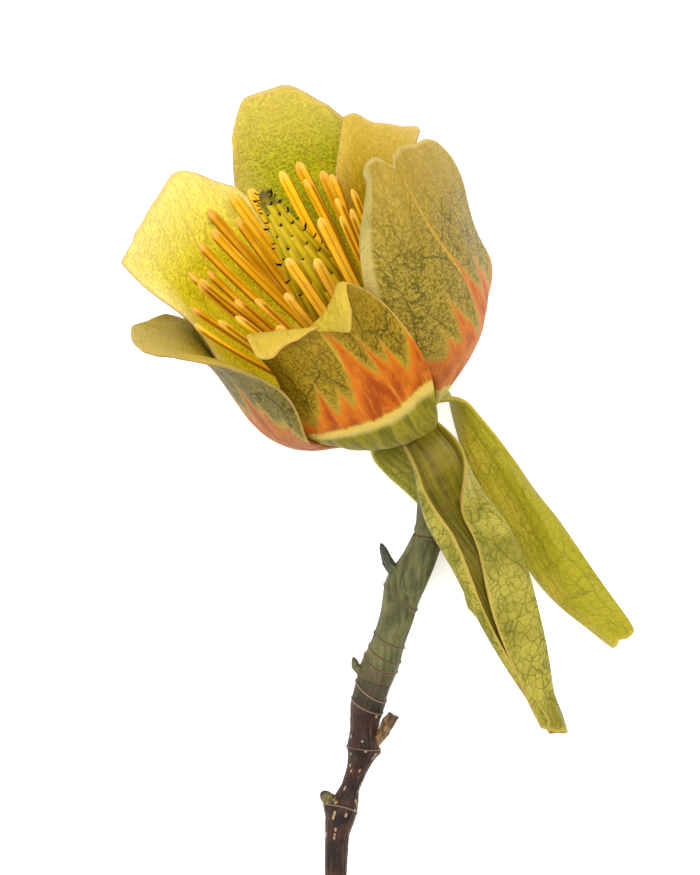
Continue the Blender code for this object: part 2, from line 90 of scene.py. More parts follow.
class Wire:
    """A socket in a finish. Arithmetic on it adds the nodes that work it out."""

    def __init__(self, finish, socket):
        self.finish = finish
        self.socket = socket

    def work(self, operation, *values):
        return self.finish.node(
            "ShaderNodeMath", {"operation": operation}, dict(enumerate(values))
        )

    def __add__(self, other):
        return self.work("ADD", self, other)

    def __sub__(self, other):
        return self.work("SUBTRACT", self, other)

    def __rsub__(self, other):
        return self.work("SUBTRACT", other, self)

    def __mul__(self, other):
        return self.work("MULTIPLY", self, other)

    def __truediv__(self, other):
        return self.work("DIVIDE", self, other)

    def __pow__(self, other):
        return self.work("POWER", self, other)

    def __abs__(self):
        return self.work("ABSOLUTE", self)

    __radd__ = __add__
    __rmul__ = __mul__

    def rise(self, low, high):
        """0 below low and 1 above high, with a smooth step between them, or the other way."""
        return self.finish.node(
            "ShaderNodeMapRange",
            {"interpolation_type": "SMOOTHSTEP"},
            {"Value": self, "From Min": low, "From Max": high},
        )

    def larger(self, other):
        return self.work("MAXIMUM", self, other)

    def ridge(self, wide):
        """1 along the middle of a cloud's range, where it makes thin wandering lines."""
        return abs(self - 0.5).rise(wide, wide * 0.3)


class Finish:
    """A material, with the few words that its pattern is written in."""

    def __init__(self, name):
        self.material = bpy.data.materials.new(name)
        self.material.use_nodes = True
        self.tree = self.material.node_tree

    def node(self, kind, settings=None, sockets=None, out=0):
        made = self.tree.nodes.new(kind)
        for key, value in (settings or {}).items():
            setattr(made, key, value)
        for key, value in (sockets or {}).items():
            if isinstance(value, Wire):
                self.tree.links.new(value.socket, made.inputs[key])
            else:
                made.inputs[key].default_value = value
        return Wire(self, made.outputs[out])

    def place(self):
        """Where a point is on the piece, in metres."""
        return self.node("ShaderNodeTexCoord", out=3)

    def held(self, attribute, part=None):
        """An attribute of the mesh, or one of its three parts."""
        whole = self.node("ShaderNodeAttribute", {"attribute_name": attribute}, out=1)
        if part is None:
            return whole
        return self.node("ShaderNodeSeparateXYZ", None, {0: whole}, out=part)

    def vector(self, operation, sockets):
        return self.node("ShaderNodeVectorMath", {"operation": operation}, sockets)

    def stretch(self, vector, sizes):
        return self.vector("MULTIPLY", {0: vector, 1: sizes})

    def cloud(self, vector, scale, detail=3):
        sockets = {"Vector": vector, "Scale": scale, "Detail": detail, "Roughness": 0.55}
        return self.node("ShaderNodeTexNoise", None, sockets)

    def jog(self, vector, scale, amount):
        """The vector with small wanderings added, so that a pattern on it isn't straight."""
        sockets = {"Vector": vector, "Scale": scale, "Detail": 2}
        shift = self.node("ShaderNodeTexNoise", None, sockets, out=1)
        shift = self.vector("SUBTRACT", {0: shift, 1: (0.5, 0.5, 0.5)})
        shift = self.vector("SCALE", {0: shift, "Scale": amount})
        return self.vector("ADD", {0: vector, 1: shift})

    def cell_walls(self, vector, scale):
        """How far a point is from the wall of its cell, in cells."""
        settings = {"feature": "DISTANCE_TO_EDGE"}
        return self.node("ShaderNodeTexVoronoi", settings, {"Vector": vector, "Scale": scale})

    def blend(self, share, first, second):
        sockets = {0: share, 6: first, 7: second}
        return self.node("ShaderNodeMix", {"data_type": "RGBA"}, sockets, out=2)

    def coats(self, skin, *layers):
        """Thin coats of paint over a skin, each given as its share and its colour."""
        for share, code in layers:
            skin = self.blend(share, skin, paint(code))
        return skin

    def surface(self, relief=None, depth=0.1 * MM, strength=0.6, **sockets):
        """Sets the shader's sockets, given as words joined by underscores, and its fine relief."""
        body = self.tree.nodes["Principled BSDF"]
        for words, value in sockets.items():
            socket = body.inputs[words.replace("_", " ")]
            if isinstance(value, Wire):
                self.tree.links.new(value.socket, socket)
            else:
                socket.default_value = value
        if relief is not None:
            bump = self.node(
                "ShaderNodeBump", None, {"Strength": strength, "Distance": depth, "Height": relief}
            )
            self.tree.links.new(bump.socket, body.inputs["Normal"])
        return self.material


# The table top: a matt white board that is lit from beneath, as a light table is.
bpy.ops.mesh.primitive_plane_add(size=4, location=(0, 0, -0.02 * MM))
table = bpy.context.object
table.name = "table_top"
board = Finish("white board")
board_grain = board.cloud(board.place(), 40)
table.data.materials.append(
    board.surface(
        Base_Color=board.blend(board_grain, paint("f6f6f4"), paint("fbfbfa")),
        Roughness=0.7,
        Emission_Color=(1, 1, 1, 1),
        Emission_Strength=0.42,
    )
)


# The brown twig: last year's wood under thin glossy dark bark. It is thickest at the ring scars
# that its bud scales left, and dotted with pale raised lenticels. Its lower end is cut across.
def ease(share):
    """A smooth step from 0 to 1."""
    share = np.clip(share, 0, 1)
    return share * share * (3 - 2 * share)


def write(mesh, name, kind, values):
    """Puts values on the points of a mesh, for its finish to read."""
    layer = mesh.attributes.new(name, kind, "POINT")
    field = "value" if kind == "FLOAT" else "vector"
    layer.data.foreach_set(field, np.ascontiguousarray(values, np.float32).ravel())


def points_of(mesh):
    flat = np.empty(len(mesh.vertices) * 3, np.float32)
    mesh.vertices.foreach_get("co", flat)
    return flat.reshape(-1, 3).astype(float)


def move_points(mesh, points):
    mesh.vertices.foreach_set("co", points.astype(np.float32).ravel())


def rolled(name, sides, rings, shape):
    """A grid carried round by shape(round, along), which gives points and attributes, and closed."""
    bpy.ops.mesh.primitive_grid_add(x_subdivisions=sides, y_subdivisions=rings, size=2)
    piece = bpy.context.object
    piece.name = name
    mesh = piece.data
    flat = (points_of(mesh) + 1) / 2
    points, attributes = shape(flat[:, 0], flat[:, 1])
    move_points(mesh, points)
    for key, values in attributes.items():
        write(mesh, key, "FLOAT" if values.ndim == 1 else "FLOAT_VECTOR", values)
    bpy.ops.object.mode_set(mode="EDIT")
    bpy.ops.mesh.select_all(action="SELECT")
    bpy.ops.mesh.remove_doubles(threshold=1e-6)
    bpy.ops.mesh.select_all(action="SELECT")
    bpy.ops.mesh.fill_holes(sides=0)
    bpy.ops.mesh.select_all(action="SELECT")
    bpy.ops.mesh.normals_make_consistent(inside=False)
    bpy.ops.object.mode_set(mode="OBJECT")
    return piece


def dress(piece, material, slot, *nodes):
    """Gives a finished piece its material and smooth shading, hangs it under the root and hides the
    solids it stands for.
    """
    piece.data.materials.append(material)
    piece.data.shade_smooth()
    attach(piece, "root")
    if nodes:
        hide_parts(*nodes)
    bpy.ops.object.select_all(action="DESELECT")


def spline(controls, share):
    """Points along the quadratic curve of the control points, as the solid stem has it."""
    controls = np.array(controls, float)
    spans = len(controls) - 2
    knots = np.concatenate(([0, 0], np.arange(spans + 1), [spans, spans])).astype(float)
    at = np.clip(share, 0, 1) * spans
    span = np.minimum(at.astype(int), spans - 1)
    first, second, third = (controls[span + k] for k in range(3))

    def between(lower, upper, low, high):
        part = ((at - knots[low]) / (knots[high] - knots[low]))[:, None]
        return lower * (1 - part) + upper * part

    knot = span + 2
    lower = between(first, second, knot - 1, knot + 1)
    upper = between(second, third, knot, knot + 2)
    return between(lower, upper, knot, knot + 1)


def stem_surface(controls, around, along, relief):
    """World points round a stem; relief gives how far its skin stands out, in millimetres."""
    middle = spline(controls, along)
    ahead = spline(controls, along + 0.002) - spline(controls, along - 0.002)
    ahead = ahead[:, :3] / np.linalg.norm(ahead[:, :3], axis=1, keepdims=True)
    side = np.cross(ahead, (0, 0, 1.0))
    side /= np.linalg.norm(side, axis=1, keepdims=True)
    top = np.cross(side, ahead)
    turn = (around * math.tau)[:, None]
    radius = (middle[:, 3] + relief)[:, None]
    ring = radius * (np.cos(turn) * side + np.sin(turn) * top)
    return (middle[:, :3] + ring) * MM + LAID


def ring_scar(along, around, at, wide, tall, tilt=0.0, sag=0.0):
    """A low ridge round the stem at a share of its length, higher on the left and sagging on top."""
    where = along - at + tilt * np.cos(around * math.tau) - sag * np.sin(around * math.tau)
    return tall * np.exp(-((where / wide) ** 2))


def wander(around, along, seed):
    """A smooth unevenness that closes on itself round a stem."""
    dice = np.random.default_rng(seed)
    total = np.zeros_like(around)
    for lobe in range(1, 6):
        swing, drift, phase = dice.uniform(0.5, 1), dice.uniform(-3, 3), dice.uniform(0, 7)
        total += swing * np.sin(lobe * around * math.tau + drift * along * 6 + phase) / lobe
    return total / 2


TWIG = (
    (3.25, -31.6, 3.25, 2.15), (2.3, -34.6, 2.95, 1.85), (1.8, -38, 2.6, 1.55),
    (1.8, -40.8, 2.45, 1.95), (1.1, -43.2, 2.3, 1.55), (-0.2, -46.6, 2.1, 1.6),
    (-1.5, -50.6, 1.95, 1.8), (-1.8, -54, 1.75, 1.6), (-1.85, -58.4, 1.55, 1.5),
)
TWIG_LONG = 27
LENTICELS = 90
TWIG_SCARS = ((0.045, 0.022, 0.012), (0.105, 0.02, 0.01), (0.36, -0.006, 0.004), (0.73, -0.004, -0.02))
TWIG_SWELLS = (
    (0, 0.1), (0.11, 0.4), (0.24, 0.15), (0.37, 0.2), (0.52, -0.25), (0.62, -0.38), (0.72, 0.2),
    (0.77, 0.15), (0.85, -0.15), (1, -0.1),
)


def twig_shape(around, along):
    dice = np.random.default_rng(3)
    spots = np.zeros_like(around)
    spot_table = dice.uniform((0, 0.06, 0.6), (1, 0.98, 1.4), (LENTICELS, 3))
    for spot_round, spot_along, spot_size in spot_table:
        off_round = np.abs(around - spot_round)
        off_round = np.minimum(off_round, 1 - off_round) * 10.5
        off_along = (along - spot_along) * TWIG_LONG
        spots = np.maximum(
            spots, np.exp(-((off_round / 0.2) ** 2) - (off_along / (0.36 * spot_size)) ** 2)
        )
    scars = sum(
        ring_scar(along, around, at, 0.0055, 0.14, tilt, sag) for at, tilt, sag in TWIG_SCARS
    )
    swell_at, swell_tall = zip(*TWIG_SWELLS)
    relief = 0.1 * spots + scars + 0.07 * wander(around, along, 5)
    relief = relief + np.interp(along, swell_at, swell_tall)
    left_side = 0.5 + 0.5 * np.cos(around * math.tau)
    knot = np.exp(-(((along - 0.735) / 0.03) ** 2))
    relief += 0.6 * left_side**3 * knot
    right_side = 1 - left_side
    relief += 0.35 * right_side**3 * np.exp(-(((along - 0.375) / 0.03) ** 2))
    relief += 0.03 * np.sin(around * math.tau * 17 + 3 * np.sin(along * 9))
    relief -= 0.25 * ease((along - 0.985) / 0.015)
    points = stem_surface(TWIG, around, along, relief)
    return points, {"skin": np.stack((spots, np.minimum(scars * 7, 1), along), 1)}


def bark():
    finish = Finish("brown bark")
    lenticel, scar, along = (finish.held("skin", part) for part in range(3))
    place = finish.place()
    fibres = finish.cloud(finish.stretch(place, (1800, 260, 1800)), 1, 4)
    blotch = finish.cloud(place, 420, 4)
    bark_colour = finish.blend(blotch.rise(0.38, 0.62), paint("190c05"), paint("3a2013"))
    bark_colour = finish.blend(fibres.rise(0.52, 0.78) * 0.5, bark_colour, paint("63452a"))
    young = along.rise(0.16, -0.02) * (0.35 + 0.6 * blotch)
    bark_colour = finish.coats(
        bark_colour,
        (young, "46452a"),
        (scar.rise(0.05, 0.4) * 0.6, "170a05"),
        (scar.rise(0.55, 0.95) * 0.8, "8b6c52"),
        (lenticel.rise(0.4, 0.8) * 0.85, "ab8a64"),
    )
    return finish.surface(
        relief=fibres * 0.7 + blotch * 0.5,
        depth=0.12 * MM,
        strength=0.7,
        Base_Color=bark_colour,
        Roughness=0.42 + 0.25 * fibres,
        Specular_IOR_Level=0.25,
    )


def cut_wood():
    """The pale wood of the cut end, with its pith."""
    finish = Finish("cut wood")
    grain = finish.cloud(finish.stretch(finish.place(), (3000, 400, 3000)), 1, 4)
    return finish.surface(
        relief=grain,
        Base_Color=finish.blend(grain, paint("b99a6a"), paint("dcc394")),
        Roughness=0.75,
    )


brown_twig = rolled("twig_bark", 96, 380, twig_shape)
brown_twig.data.materials.append(bark())
brown_twig.data.materials.append(cut_wood())
cut_face = min(
    (face.center.y, face.index) for face in brown_twig.data.polygons if len(face.vertices) > 20
)[1]
bpy.ops.object.mode_set(mode="EDIT")
bpy.ops.mesh.select_all(action="DESELECT")
bpy.ops.object.mode_set(mode="OBJECT")
brown_twig.data.polygons[cut_face].select = True
bpy.ops.object.mode_set(mode="EDIT")
bpy.ops.mesh.inset(thickness=0.22 * MM, depth=0, use_even_offset=False)
bpy.context.object.active_material_index = 1
bpy.ops.object.material_slot_assign()
bpy.ops.mesh.inset(thickness=0.5 * MM, depth=-0.08 * MM, use_even_offset=False)
bpy.ops.object.mode_set(mode="OBJECT")
brown_twig.data.shade_smooth()
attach(brown_twig, "root")
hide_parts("brown_twig")
bpy.ops.object.select_all(action="DESELECT")


# This year's green shoot and the flower stalk: soft sage-green stems with long ridges, brown
# lines where stipules fell, and a swollen joint between them. They grow out of one another.
SHOOT = (
    (10.2, -13.3, 5.55, 1.95), (9, -16.2, 5.2, 2.2), (7.3, -19, 4.9, 2.7), (6.6, -21.5, 4.6, 2.3),
    (5.8, -24.6, 4.2, 2.15), (4.8, -27.6, 3.8, 2.15), (3.8, -30, 3.5, 2.45), (3.2, -31.9, 3.25, 2.4),
)
SHOOT_SCARS = ((0.38, 0.06, 0.01), (0.69, 0.02, 0.01), (0.8, 0.02, 0.03), (0.885, 0.02, 0.03))
STALK = (
    (8.4, 0.5, 8.1, 2.1), (9.4, -1.1, 7.1, 1.95), (10.4, -5.5, 6.4, 1.75), (10.7, -10, 5.9, 1.7),
    (10.24, -13.6, 5.55, 1.9),
)


def shoot_shape(around, along):
    scars = sum(
        ring_scar(along, around, at, 0.009, 0.17, tilt, sag) for at, tilt, sag in SHOOT_SCARS
    )
    grooves = np.sin(around * math.tau * 9 + 2.5 * np.sin(along * 5)) * (0.4 + 0.6 * ease(1 - along))
    leaf_scar = np.exp(-(((around - 0.3) / 0.09) ** 2) - ((along - 0.17) / 0.1) ** 2)
    rim = np.exp(-(((np.hypot((around - 0.3) / 0.1, (along - 0.17) / 0.15) - 1) / 0.12) ** 2))
    rim = rim * ease((along - 0.14) / 0.1)
    relief = scars + 0.07 * grooves + 0.16 * wander(around, along, 8) + 0.14 * rim - 0.1 * leaf_scar
    points = stem_surface(SHOOT, around, along, relief)
    return points, {"skin": np.stack((rim, np.minimum(scars * 6, 1), along), 1)}


def stalk_shape(around, along):
    relief = 0.05 * np.sin(around * math.tau * 8 + along * 2) + 0.1 * wander(around, along, 12)
    relief += ring_scar(along, around, 0.93, 0.03, 0.18)
    scars = ring_scar(along, around, 0.965, 0.012, 1.0)
    points = stem_surface(STALK, around, along, relief)
    return points, {"skin": np.stack((0 * along, scars, 0 * along), 1)}


def green_skin(name, browning):
    finish = Finish(name)
    rim, scar, along = (finish.held("skin", part) for part in range(3))
    place = finish.place()
    ridges = finish.cloud(finish.stretch(place, (1500, 160, 1500)), 1, 4)
    specks = finish.cloud(place, 2600, 2)
    mottle = finish.cloud(place, 300, 4)
    skin = finish.blend(ridges.rise(0.35, 0.65), paint("3d3e1c"), paint("5f5e34"))
    skin = finish.coats(
        skin,
        (mottle.rise(0.45, 0.72) * 0.5, "747040"),
        (specks.rise(0.6, 0.72) * 0.5, "2c2c12"),
        (rim.rise(0.5, 1.0) * 0.35, "777348"),
        (along.rise(0.86, 1.0) * browning * (0.4 + mottle), "46331f"),
        (scar.rise(0.1, 0.5) * 0.5, "7f7048"),
        (scar.rise(0.45, 0.85) * 0.9, "4b2c1e"),
    )
    return finish.surface(
        relief=ridges + specks * 0.25,
        depth=0.14 * MM,
        strength=0.7,
        Base_Color=skin,
        Roughness=0.5 + 0.2 * mottle,
        Specular_IOR_Level=0.3,
    )


dress(
    rolled("green_shoot_skin", 80, 260, shoot_shape),
    green_skin("sage skin", 0.75), "green_shoot", "green_shoot",
)
dress(
    rolled("flower_stalk_skin", 64, 160, stalk_shape),
    green_skin("stalk skin", 0.0), "green_shoot", "flower_stalk",
)

# Side buds and the stub of a dead leaf stalk: small fingers pressed to the stem, wrapped in one
# scale each. The buds are grey-green with a brown tip, and the stub is dry, split and ochre.
BUDS = (
    (
        "side_bud_upper", (6.9, -18.4, 5.2), (5.2, -17.0, 5.4), (4.0, -13.8, 5.9),
        (0.95, 0.75, 0.62, 0.35), "4a5230", "28271a",
    ),
    (
        "side_bud_middle", (2.1, -31.1, 3.5), (0.85, -30.35, 3.75), (0.4, -28.8, 4.15),
        (0.6, 0.5, 0.5, 0.2), "5f6632", "46381f",
    ),
    (
        "leaf_stub", (2.9, -40.2, 2.7), (4.05, -39.3, 3.05), (5.6, -36.4, 3.75),
        (0.95, 0.6, 0.65, 0.85), "8a6a3a", "4a3018",
    ),
    (
        "side_bud_lower", (-1.2, -48.4, 2.2), (-2.6, -47.8, 2.6), (-3.8, -46.6, 3.0),
        (1.0, 0.85, 0.85, 0.5), "767038", "3a2412",
    ),
)


def bud_skin(name, fresh, dark):
    finish = Finish(name + " skin")
    place = finish.place()
    along = finish.held("skin", 2)
    fibres = finish.cloud(finish.stretch(place, (2200, 500, 2200)), 1, 4)
    patch = finish.cloud(place, 1100, 3)
    skin = finish.blend(fibres.rise(0.35, 0.7), paint(dark), paint(fresh))
    skin = finish.blend(along.rise(0.7, 1.0) * (0.4 + patch), skin, paint(dark))
    return finish.surface(
        relief=fibres + patch * 0.4,
        depth=0.12 * MM,
        strength=0.8,
        Base_Color=skin,
        Roughness=0.5 + 0.3 * patch,
    )


for bud_name, bud_root, bud_foot, bud_tip, bud_radii, bud_fresh, bud_dark in BUDS:
    bud_middle = [(a + b) / 2 for a, b in zip(bud_foot, bud_tip)]
    bud_points = (bud_root, bud_foot, bud_middle, bud_tip)
    bud_line = [(*point, radius) for point, radius in zip(bud_points, bud_radii)]
    torn = bud_name == "leaf_stub"

    def bud_shape(around, along):
        seam = np.exp(-(((along - 0.45 - 0.2 * np.sin(around * math.tau)) / 0.05) ** 2))
        relief = 0.07 * seam + 0.06 * wander(around, along, 21)
        relief += 0.05 * np.sin(around * math.tau * 7)
        if torn:
            relief += 0.22 * np.sin(around * math.tau * 4 + along * 3) * along
            relief -= 0.5 * ease((along - 0.8) / 0.2) * (0.5 + 0.5 * np.sin(around * math.tau * 3))
        else:
            radius = spline(bud_line, along)[:, 3]
            relief -= radius * (1 - np.sqrt(np.clip(1 - ((along - 0.8) / 0.2).clip(0, 1) ** 2, 0, 1)))
        points = stem_surface(bud_line, around, along, relief)
        return points, {"skin": np.stack((seam, seam, along), 1)}

    dress(
        rolled(bud_name + "_scale", 36, 40, bud_shape),
        bud_skin(bud_name, bud_fresh, bud_dark), "bud", bud_name,
    )


# The flower's seat: a short fleshy cone of the stalk that carries everything else. Only a corner
# of it shows, in the gap between the front and the right petal.
SEAT = np.array((6.6, 3.3, 10.2)) * MM + LAID
AXIS_RISE = math.radians(32)
AXIS_HEADING = math.radians(122.8)
UP = np.array(
    (
        math.cos(AXIS_RISE) * math.cos(AXIS_HEADING),
        math.cos(AXIS_RISE) * math.sin(AXIS_HEADING),
        math.sin(AXIS_RISE),
    )
)
RIGHT = np.array((math.sin(AXIS_HEADING), -math.cos(AXIS_HEADING), 0.0))
FRONT = np.cross(RIGHT, UP)


def from_flower(out, up, sideways, azimuth):
    """World points from millimetres out from the flower's axis, up it and round it."""
    outward = np.multiply.outer(np.cos(azimuth), FRONT) + np.multiply.outer(np.sin(azimuth), RIGHT)
    round_ = np.multiply.outer(np.cos(azimuth), RIGHT) - np.multiply.outer(np.sin(azimuth), FRONT)
    out, up, sideways = (np.asarray(v, float)[..., None] for v in (out, up, sideways))
    return SEAT + (out * outward + up * UP + sideways * round_) * MM


def turned(profile, around, along):
    """Radius and height along a turned profile of (radius, height) pairs, evenly by its length."""
    corners = np.array(profile, float)
    walk = np.concatenate(([0], np.cumsum(np.linalg.norm(np.diff(corners, axis=0), axis=1))))
    at = along * walk[-1]
    return np.interp(at, walk, corners[:, 0]), np.interp(at, walk, corners[:, 1])


RECEPTACLE = (
    (0, 7), (2.5, 6.8), (2.6, 2.4), (3.2, 1.6), (3.85, 1), (3.9, -1), (3.8, -1.9), (2.9, -2.9),
    (2.2, -3.4), (0, -3.4),
)


def receptacle_shape(around, along):
    radius, height = turned(RECEPTACLE, around, along)
    relief = 0.12 * np.sin(around * math.tau * 12 + height) * ease(radius / 2)
    points = from_flower(radius + relief, height, 0 * radius, around * math.tau)
    return points, {"skin": np.stack((relief, height, radius), 1)}


receptacle_skin = Finish("receptacle skin")
receptacle_mottle = receptacle_skin.cloud(receptacle_skin.place(), 900, 4)
receptacle_colour = receptacle_skin.blend(receptacle_mottle, paint("6f6a1e"), paint("a69a3c"))
receptacle_skin.surface(relief=receptacle_mottle, Base_Color=receptacle_colour, Roughness=0.5)
dress(
    rolled("receptacle_cone", 72, 80, receptacle_shape),
    receptacle_skin.material, "sepal", "receptacle",
)

# Three sepals, bent right down under the flower: thin leathery blades, pale olive, with dark
# green net veins on their undersides. Their margins roll in, so that both faces show.
BLADE = dict(
    claw=5.1, widest=0.6, top_width=0.72, crown=0.16, crown_power=3.0, slant=0.0, notch=0.0,
    notch_at=0.0, notch_width=0.12, seat_radius=4.6, seat_height=0.0, foot=58.0, wall=8.0,
    shoulder=0.18, shoulder_end=0.46, tip=8.0, flare_from=0.7, roll=0.0, roll_length=0.0,
    sway=0.0, sway_from=0.0, sway_end=0.4, twist=0.0, stand_out=0.0, cup_left=1.0, cup_right=1.0,
    turn_left=0.0, turn_right=0.0, flap_left=4.0, flap_right=4.0, flap_bend=4.0, turn_from=0.3,
    turn_end=0.55, ripple=0.45, wave=0.5, ragged=0.008, nudges=(), nudge_wide=0.35,
    nudge_long=0.16, thick=0.62,
)
BLADE_ACROSS = 84
BLADE_ALONG = 112
SPINE_STEPS = 240
SPINE_OVERRUN = 1.05
SECTION_STEPS = 24


def blade_spine(blade):
    """Points and directions down the middle of a blade, as columns (out, up, round)."""
    share = np.linspace(0, SPINE_OVERRUN, SPINE_STEPS + 1)
    lean = blade.foot + (blade.wall - blade.foot) * ease(
        (share - blade.shoulder) / (blade.shoulder_end - blade.shoulder)
    )
    lean += (blade.tip - blade.wall) * ease((share - blade.flare_from) / (1 - blade.flare_from))
    if blade.roll_length:
        start = 1 - blade.roll_length / blade.length
        lean += blade.roll * np.maximum((share - start) / (1 - start), 0)
    lean = np.radians(lean)
    sway = (share - blade.sway_from) / (blade.sway_end - blade.sway_from)
    sway = np.radians(blade.sway) * ease(sway)
    ahead = np.stack((np.cos(sway) * np.sin(lean), np.cos(sway) * np.cos(lean), np.sin(sway)), 1)
    side = np.stack((-np.sin(sway) * np.sin(lean), -np.sin(sway) * np.cos(lean), np.cos(sway)), 1)
    out = np.stack((np.cos(lean), -np.sin(lean), 0 * lean), 1)
    steps = (ahead[1:] + ahead[:-1]) / 2 * blade.length * SPINE_OVERRUN / SPINE_STEPS
    start = np.array((blade.seat_radius, blade.seat_height, 0.0))
    return share, start + np.concatenate((np.zeros((1, 3)), np.cumsum(steps, 0))), side, out


def blade_surface(blade, across, along):
    """The blade's middle surface in the world, with its own shares of length and width."""
    dice = np.random.default_rng(blade.seed)
    phases = dice.uniform(0, math.tau, 12)
    edge = np.abs(across)
    nick = blade.ragged * (np.sin(across * 4 + phases[0]) + 0.3 * np.sin(across * 11 + phases[1]))
    share = along * (
        1
        - blade.crown * edge**blade.crown_power
        + blade.slant * across
        - blade.notch * np.exp(-(((across - blade.notch_at) / blade.notch_width) ** 2))
        + nick * ease((along - 0.7) / 0.3)
    )
    table, points, side, out = blade_spine(blade)
    middle, side, out = (
        np.stack([np.interp(share, table, column[:, k]) for k in range(3)], 1)
        for column in (points, side, out)
    )
    growth = ease(share / blade.widest) ** 0.8
    taper = ease((share - blade.widest) / (1 - blade.widest))
    width = blade.claw + (blade.width - blade.claw) * growth
    width = width * (1 - (1 - blade.top_width) * taper) / 2
    width = width * (1 + blade.ragged * 1.5 * np.sin(along * 13 + np.sign(across) * phases[2]))
    reach = edge * width
    right = across > 0
    grown = ease(share / 0.3)
    cup = 1 + (np.where(right, blade.cup_right, blade.cup_left) - 1) * grown
    radius = cup * np.maximum(np.hypot(middle[:, 0], middle[:, 2]), 3)
    turn = np.radians(np.where(right, blade.turn_right, blade.turn_left))
    turn = turn * ease((share - blade.turn_from) / (blade.turn_end - blade.turn_from))
    flap = np.where(right, blade.flap_right, blade.flap_left)
    walk = reach[:, None] * (np.arange(SECTION_STEPS) + 0.5) / SECTION_STEPS
    bend = walk / radius[:, None] + turn[:, None] * ease(
        (walk - (width - flap)[:, None]) / blade.flap_bend
    )
    sideward = np.cos(bend).mean(1) * reach * np.sign(across)
    inward = np.sin(bend).mean(1) * reach
    last = bend[:, -1]

    swell = np.sin(5.3 * along + 1.1 * across + phases[3]) + np.sin(9 * along - 2 * across + phases[4])
    flutter = np.sin(along * 15 + np.sign(across) * phases[5]) * edge**4
    pleats = 0.05 * np.cos(across * math.pi * 7) - 0.1 * np.exp(-((across / 0.03) ** 2))
    lift = grown * (0.5 * blade.wave * swell + blade.ripple * flutter + pleats)
    sideward = sideward + lift * np.sin(last) * np.sign(across)
    inward = inward - lift * np.cos(last)

    middle = middle + out * (blade.stand_out * grown)[:, None]
    twist = (np.radians(blade.twist) * grown)[:, None]
    turned_side = np.cos(twist) * side + np.sin(twist) * out
    turned_out = -np.sin(twist) * side + np.cos(twist) * out
    local = middle + turned_side * sideward[:, None] - turned_out * inward[:, None]
    ahead = np.cross(turned_side, turned_out)
    for at_across, at_along, aside, forward in blade.nudges:
        away = ((across - at_across) / blade.nudge_wide) ** 2
        away = away + ((along - at_along) / blade.nudge_long) ** 2
        local = local + np.exp(-away)[:, None] * (aside * turned_side + forward * ahead)
    angle = np.full(len(local), math.radians(blade.azimuth))
    placed = from_flower(local[:, 0], local[:, 1], local[:, 2], angle)
    return placed, share, across * width


def grown_blade(name, blade):
    """A grid shaped to the blade and given its thickness, which thins out to the margins."""
    bpy.ops.mesh.primitive_grid_add(x_subdivisions=BLADE_ACROSS, y_subdivisions=BLADE_ALONG, size=2)
    piece = bpy.context.object
    piece.name = name
    mesh = piece.data
    flat = points_of(mesh)
    count = len(flat)
    across = np.sin(flat[:, 0] * 1.35) / math.sin(1.35)
    along = (flat[:, 1] + 1) / 2
    placed, share, sideways = blade_surface(blade, across, along)
    move_points(mesh, placed)
    flesh = piece.vertex_groups.new(name="flesh")
    thin = np.minimum(1, np.minimum((1 - np.abs(across)) * 9, (1 - along) * 14) + 0.35)
    for number, weight in enumerate(thin):
        flesh.add([number], float(weight), "REPLACE")
    wall = piece.modifiers.new("flesh", "SOLIDIFY")
    wall.thickness = blade.thick * MM
    wall.offset = 0
    wall.vertex_group = "flesh"
    bpy.ops.object.modifier_apply(modifier="flesh")
    face = np.repeat((1.0, -1.0), count)
    write(mesh, "blade", "FLOAT_VECTOR", np.stack((np.tile(across, 2), np.tile(along, 2), face), 1))
    flat_place = (np.tile(sideways, 2), np.tile(share * blade.length, 2), face * 3 + blade.seed * 17)
    write(mesh, "flat", "FLOAT_VECTOR", np.stack(flat_place, 1))
    return piece


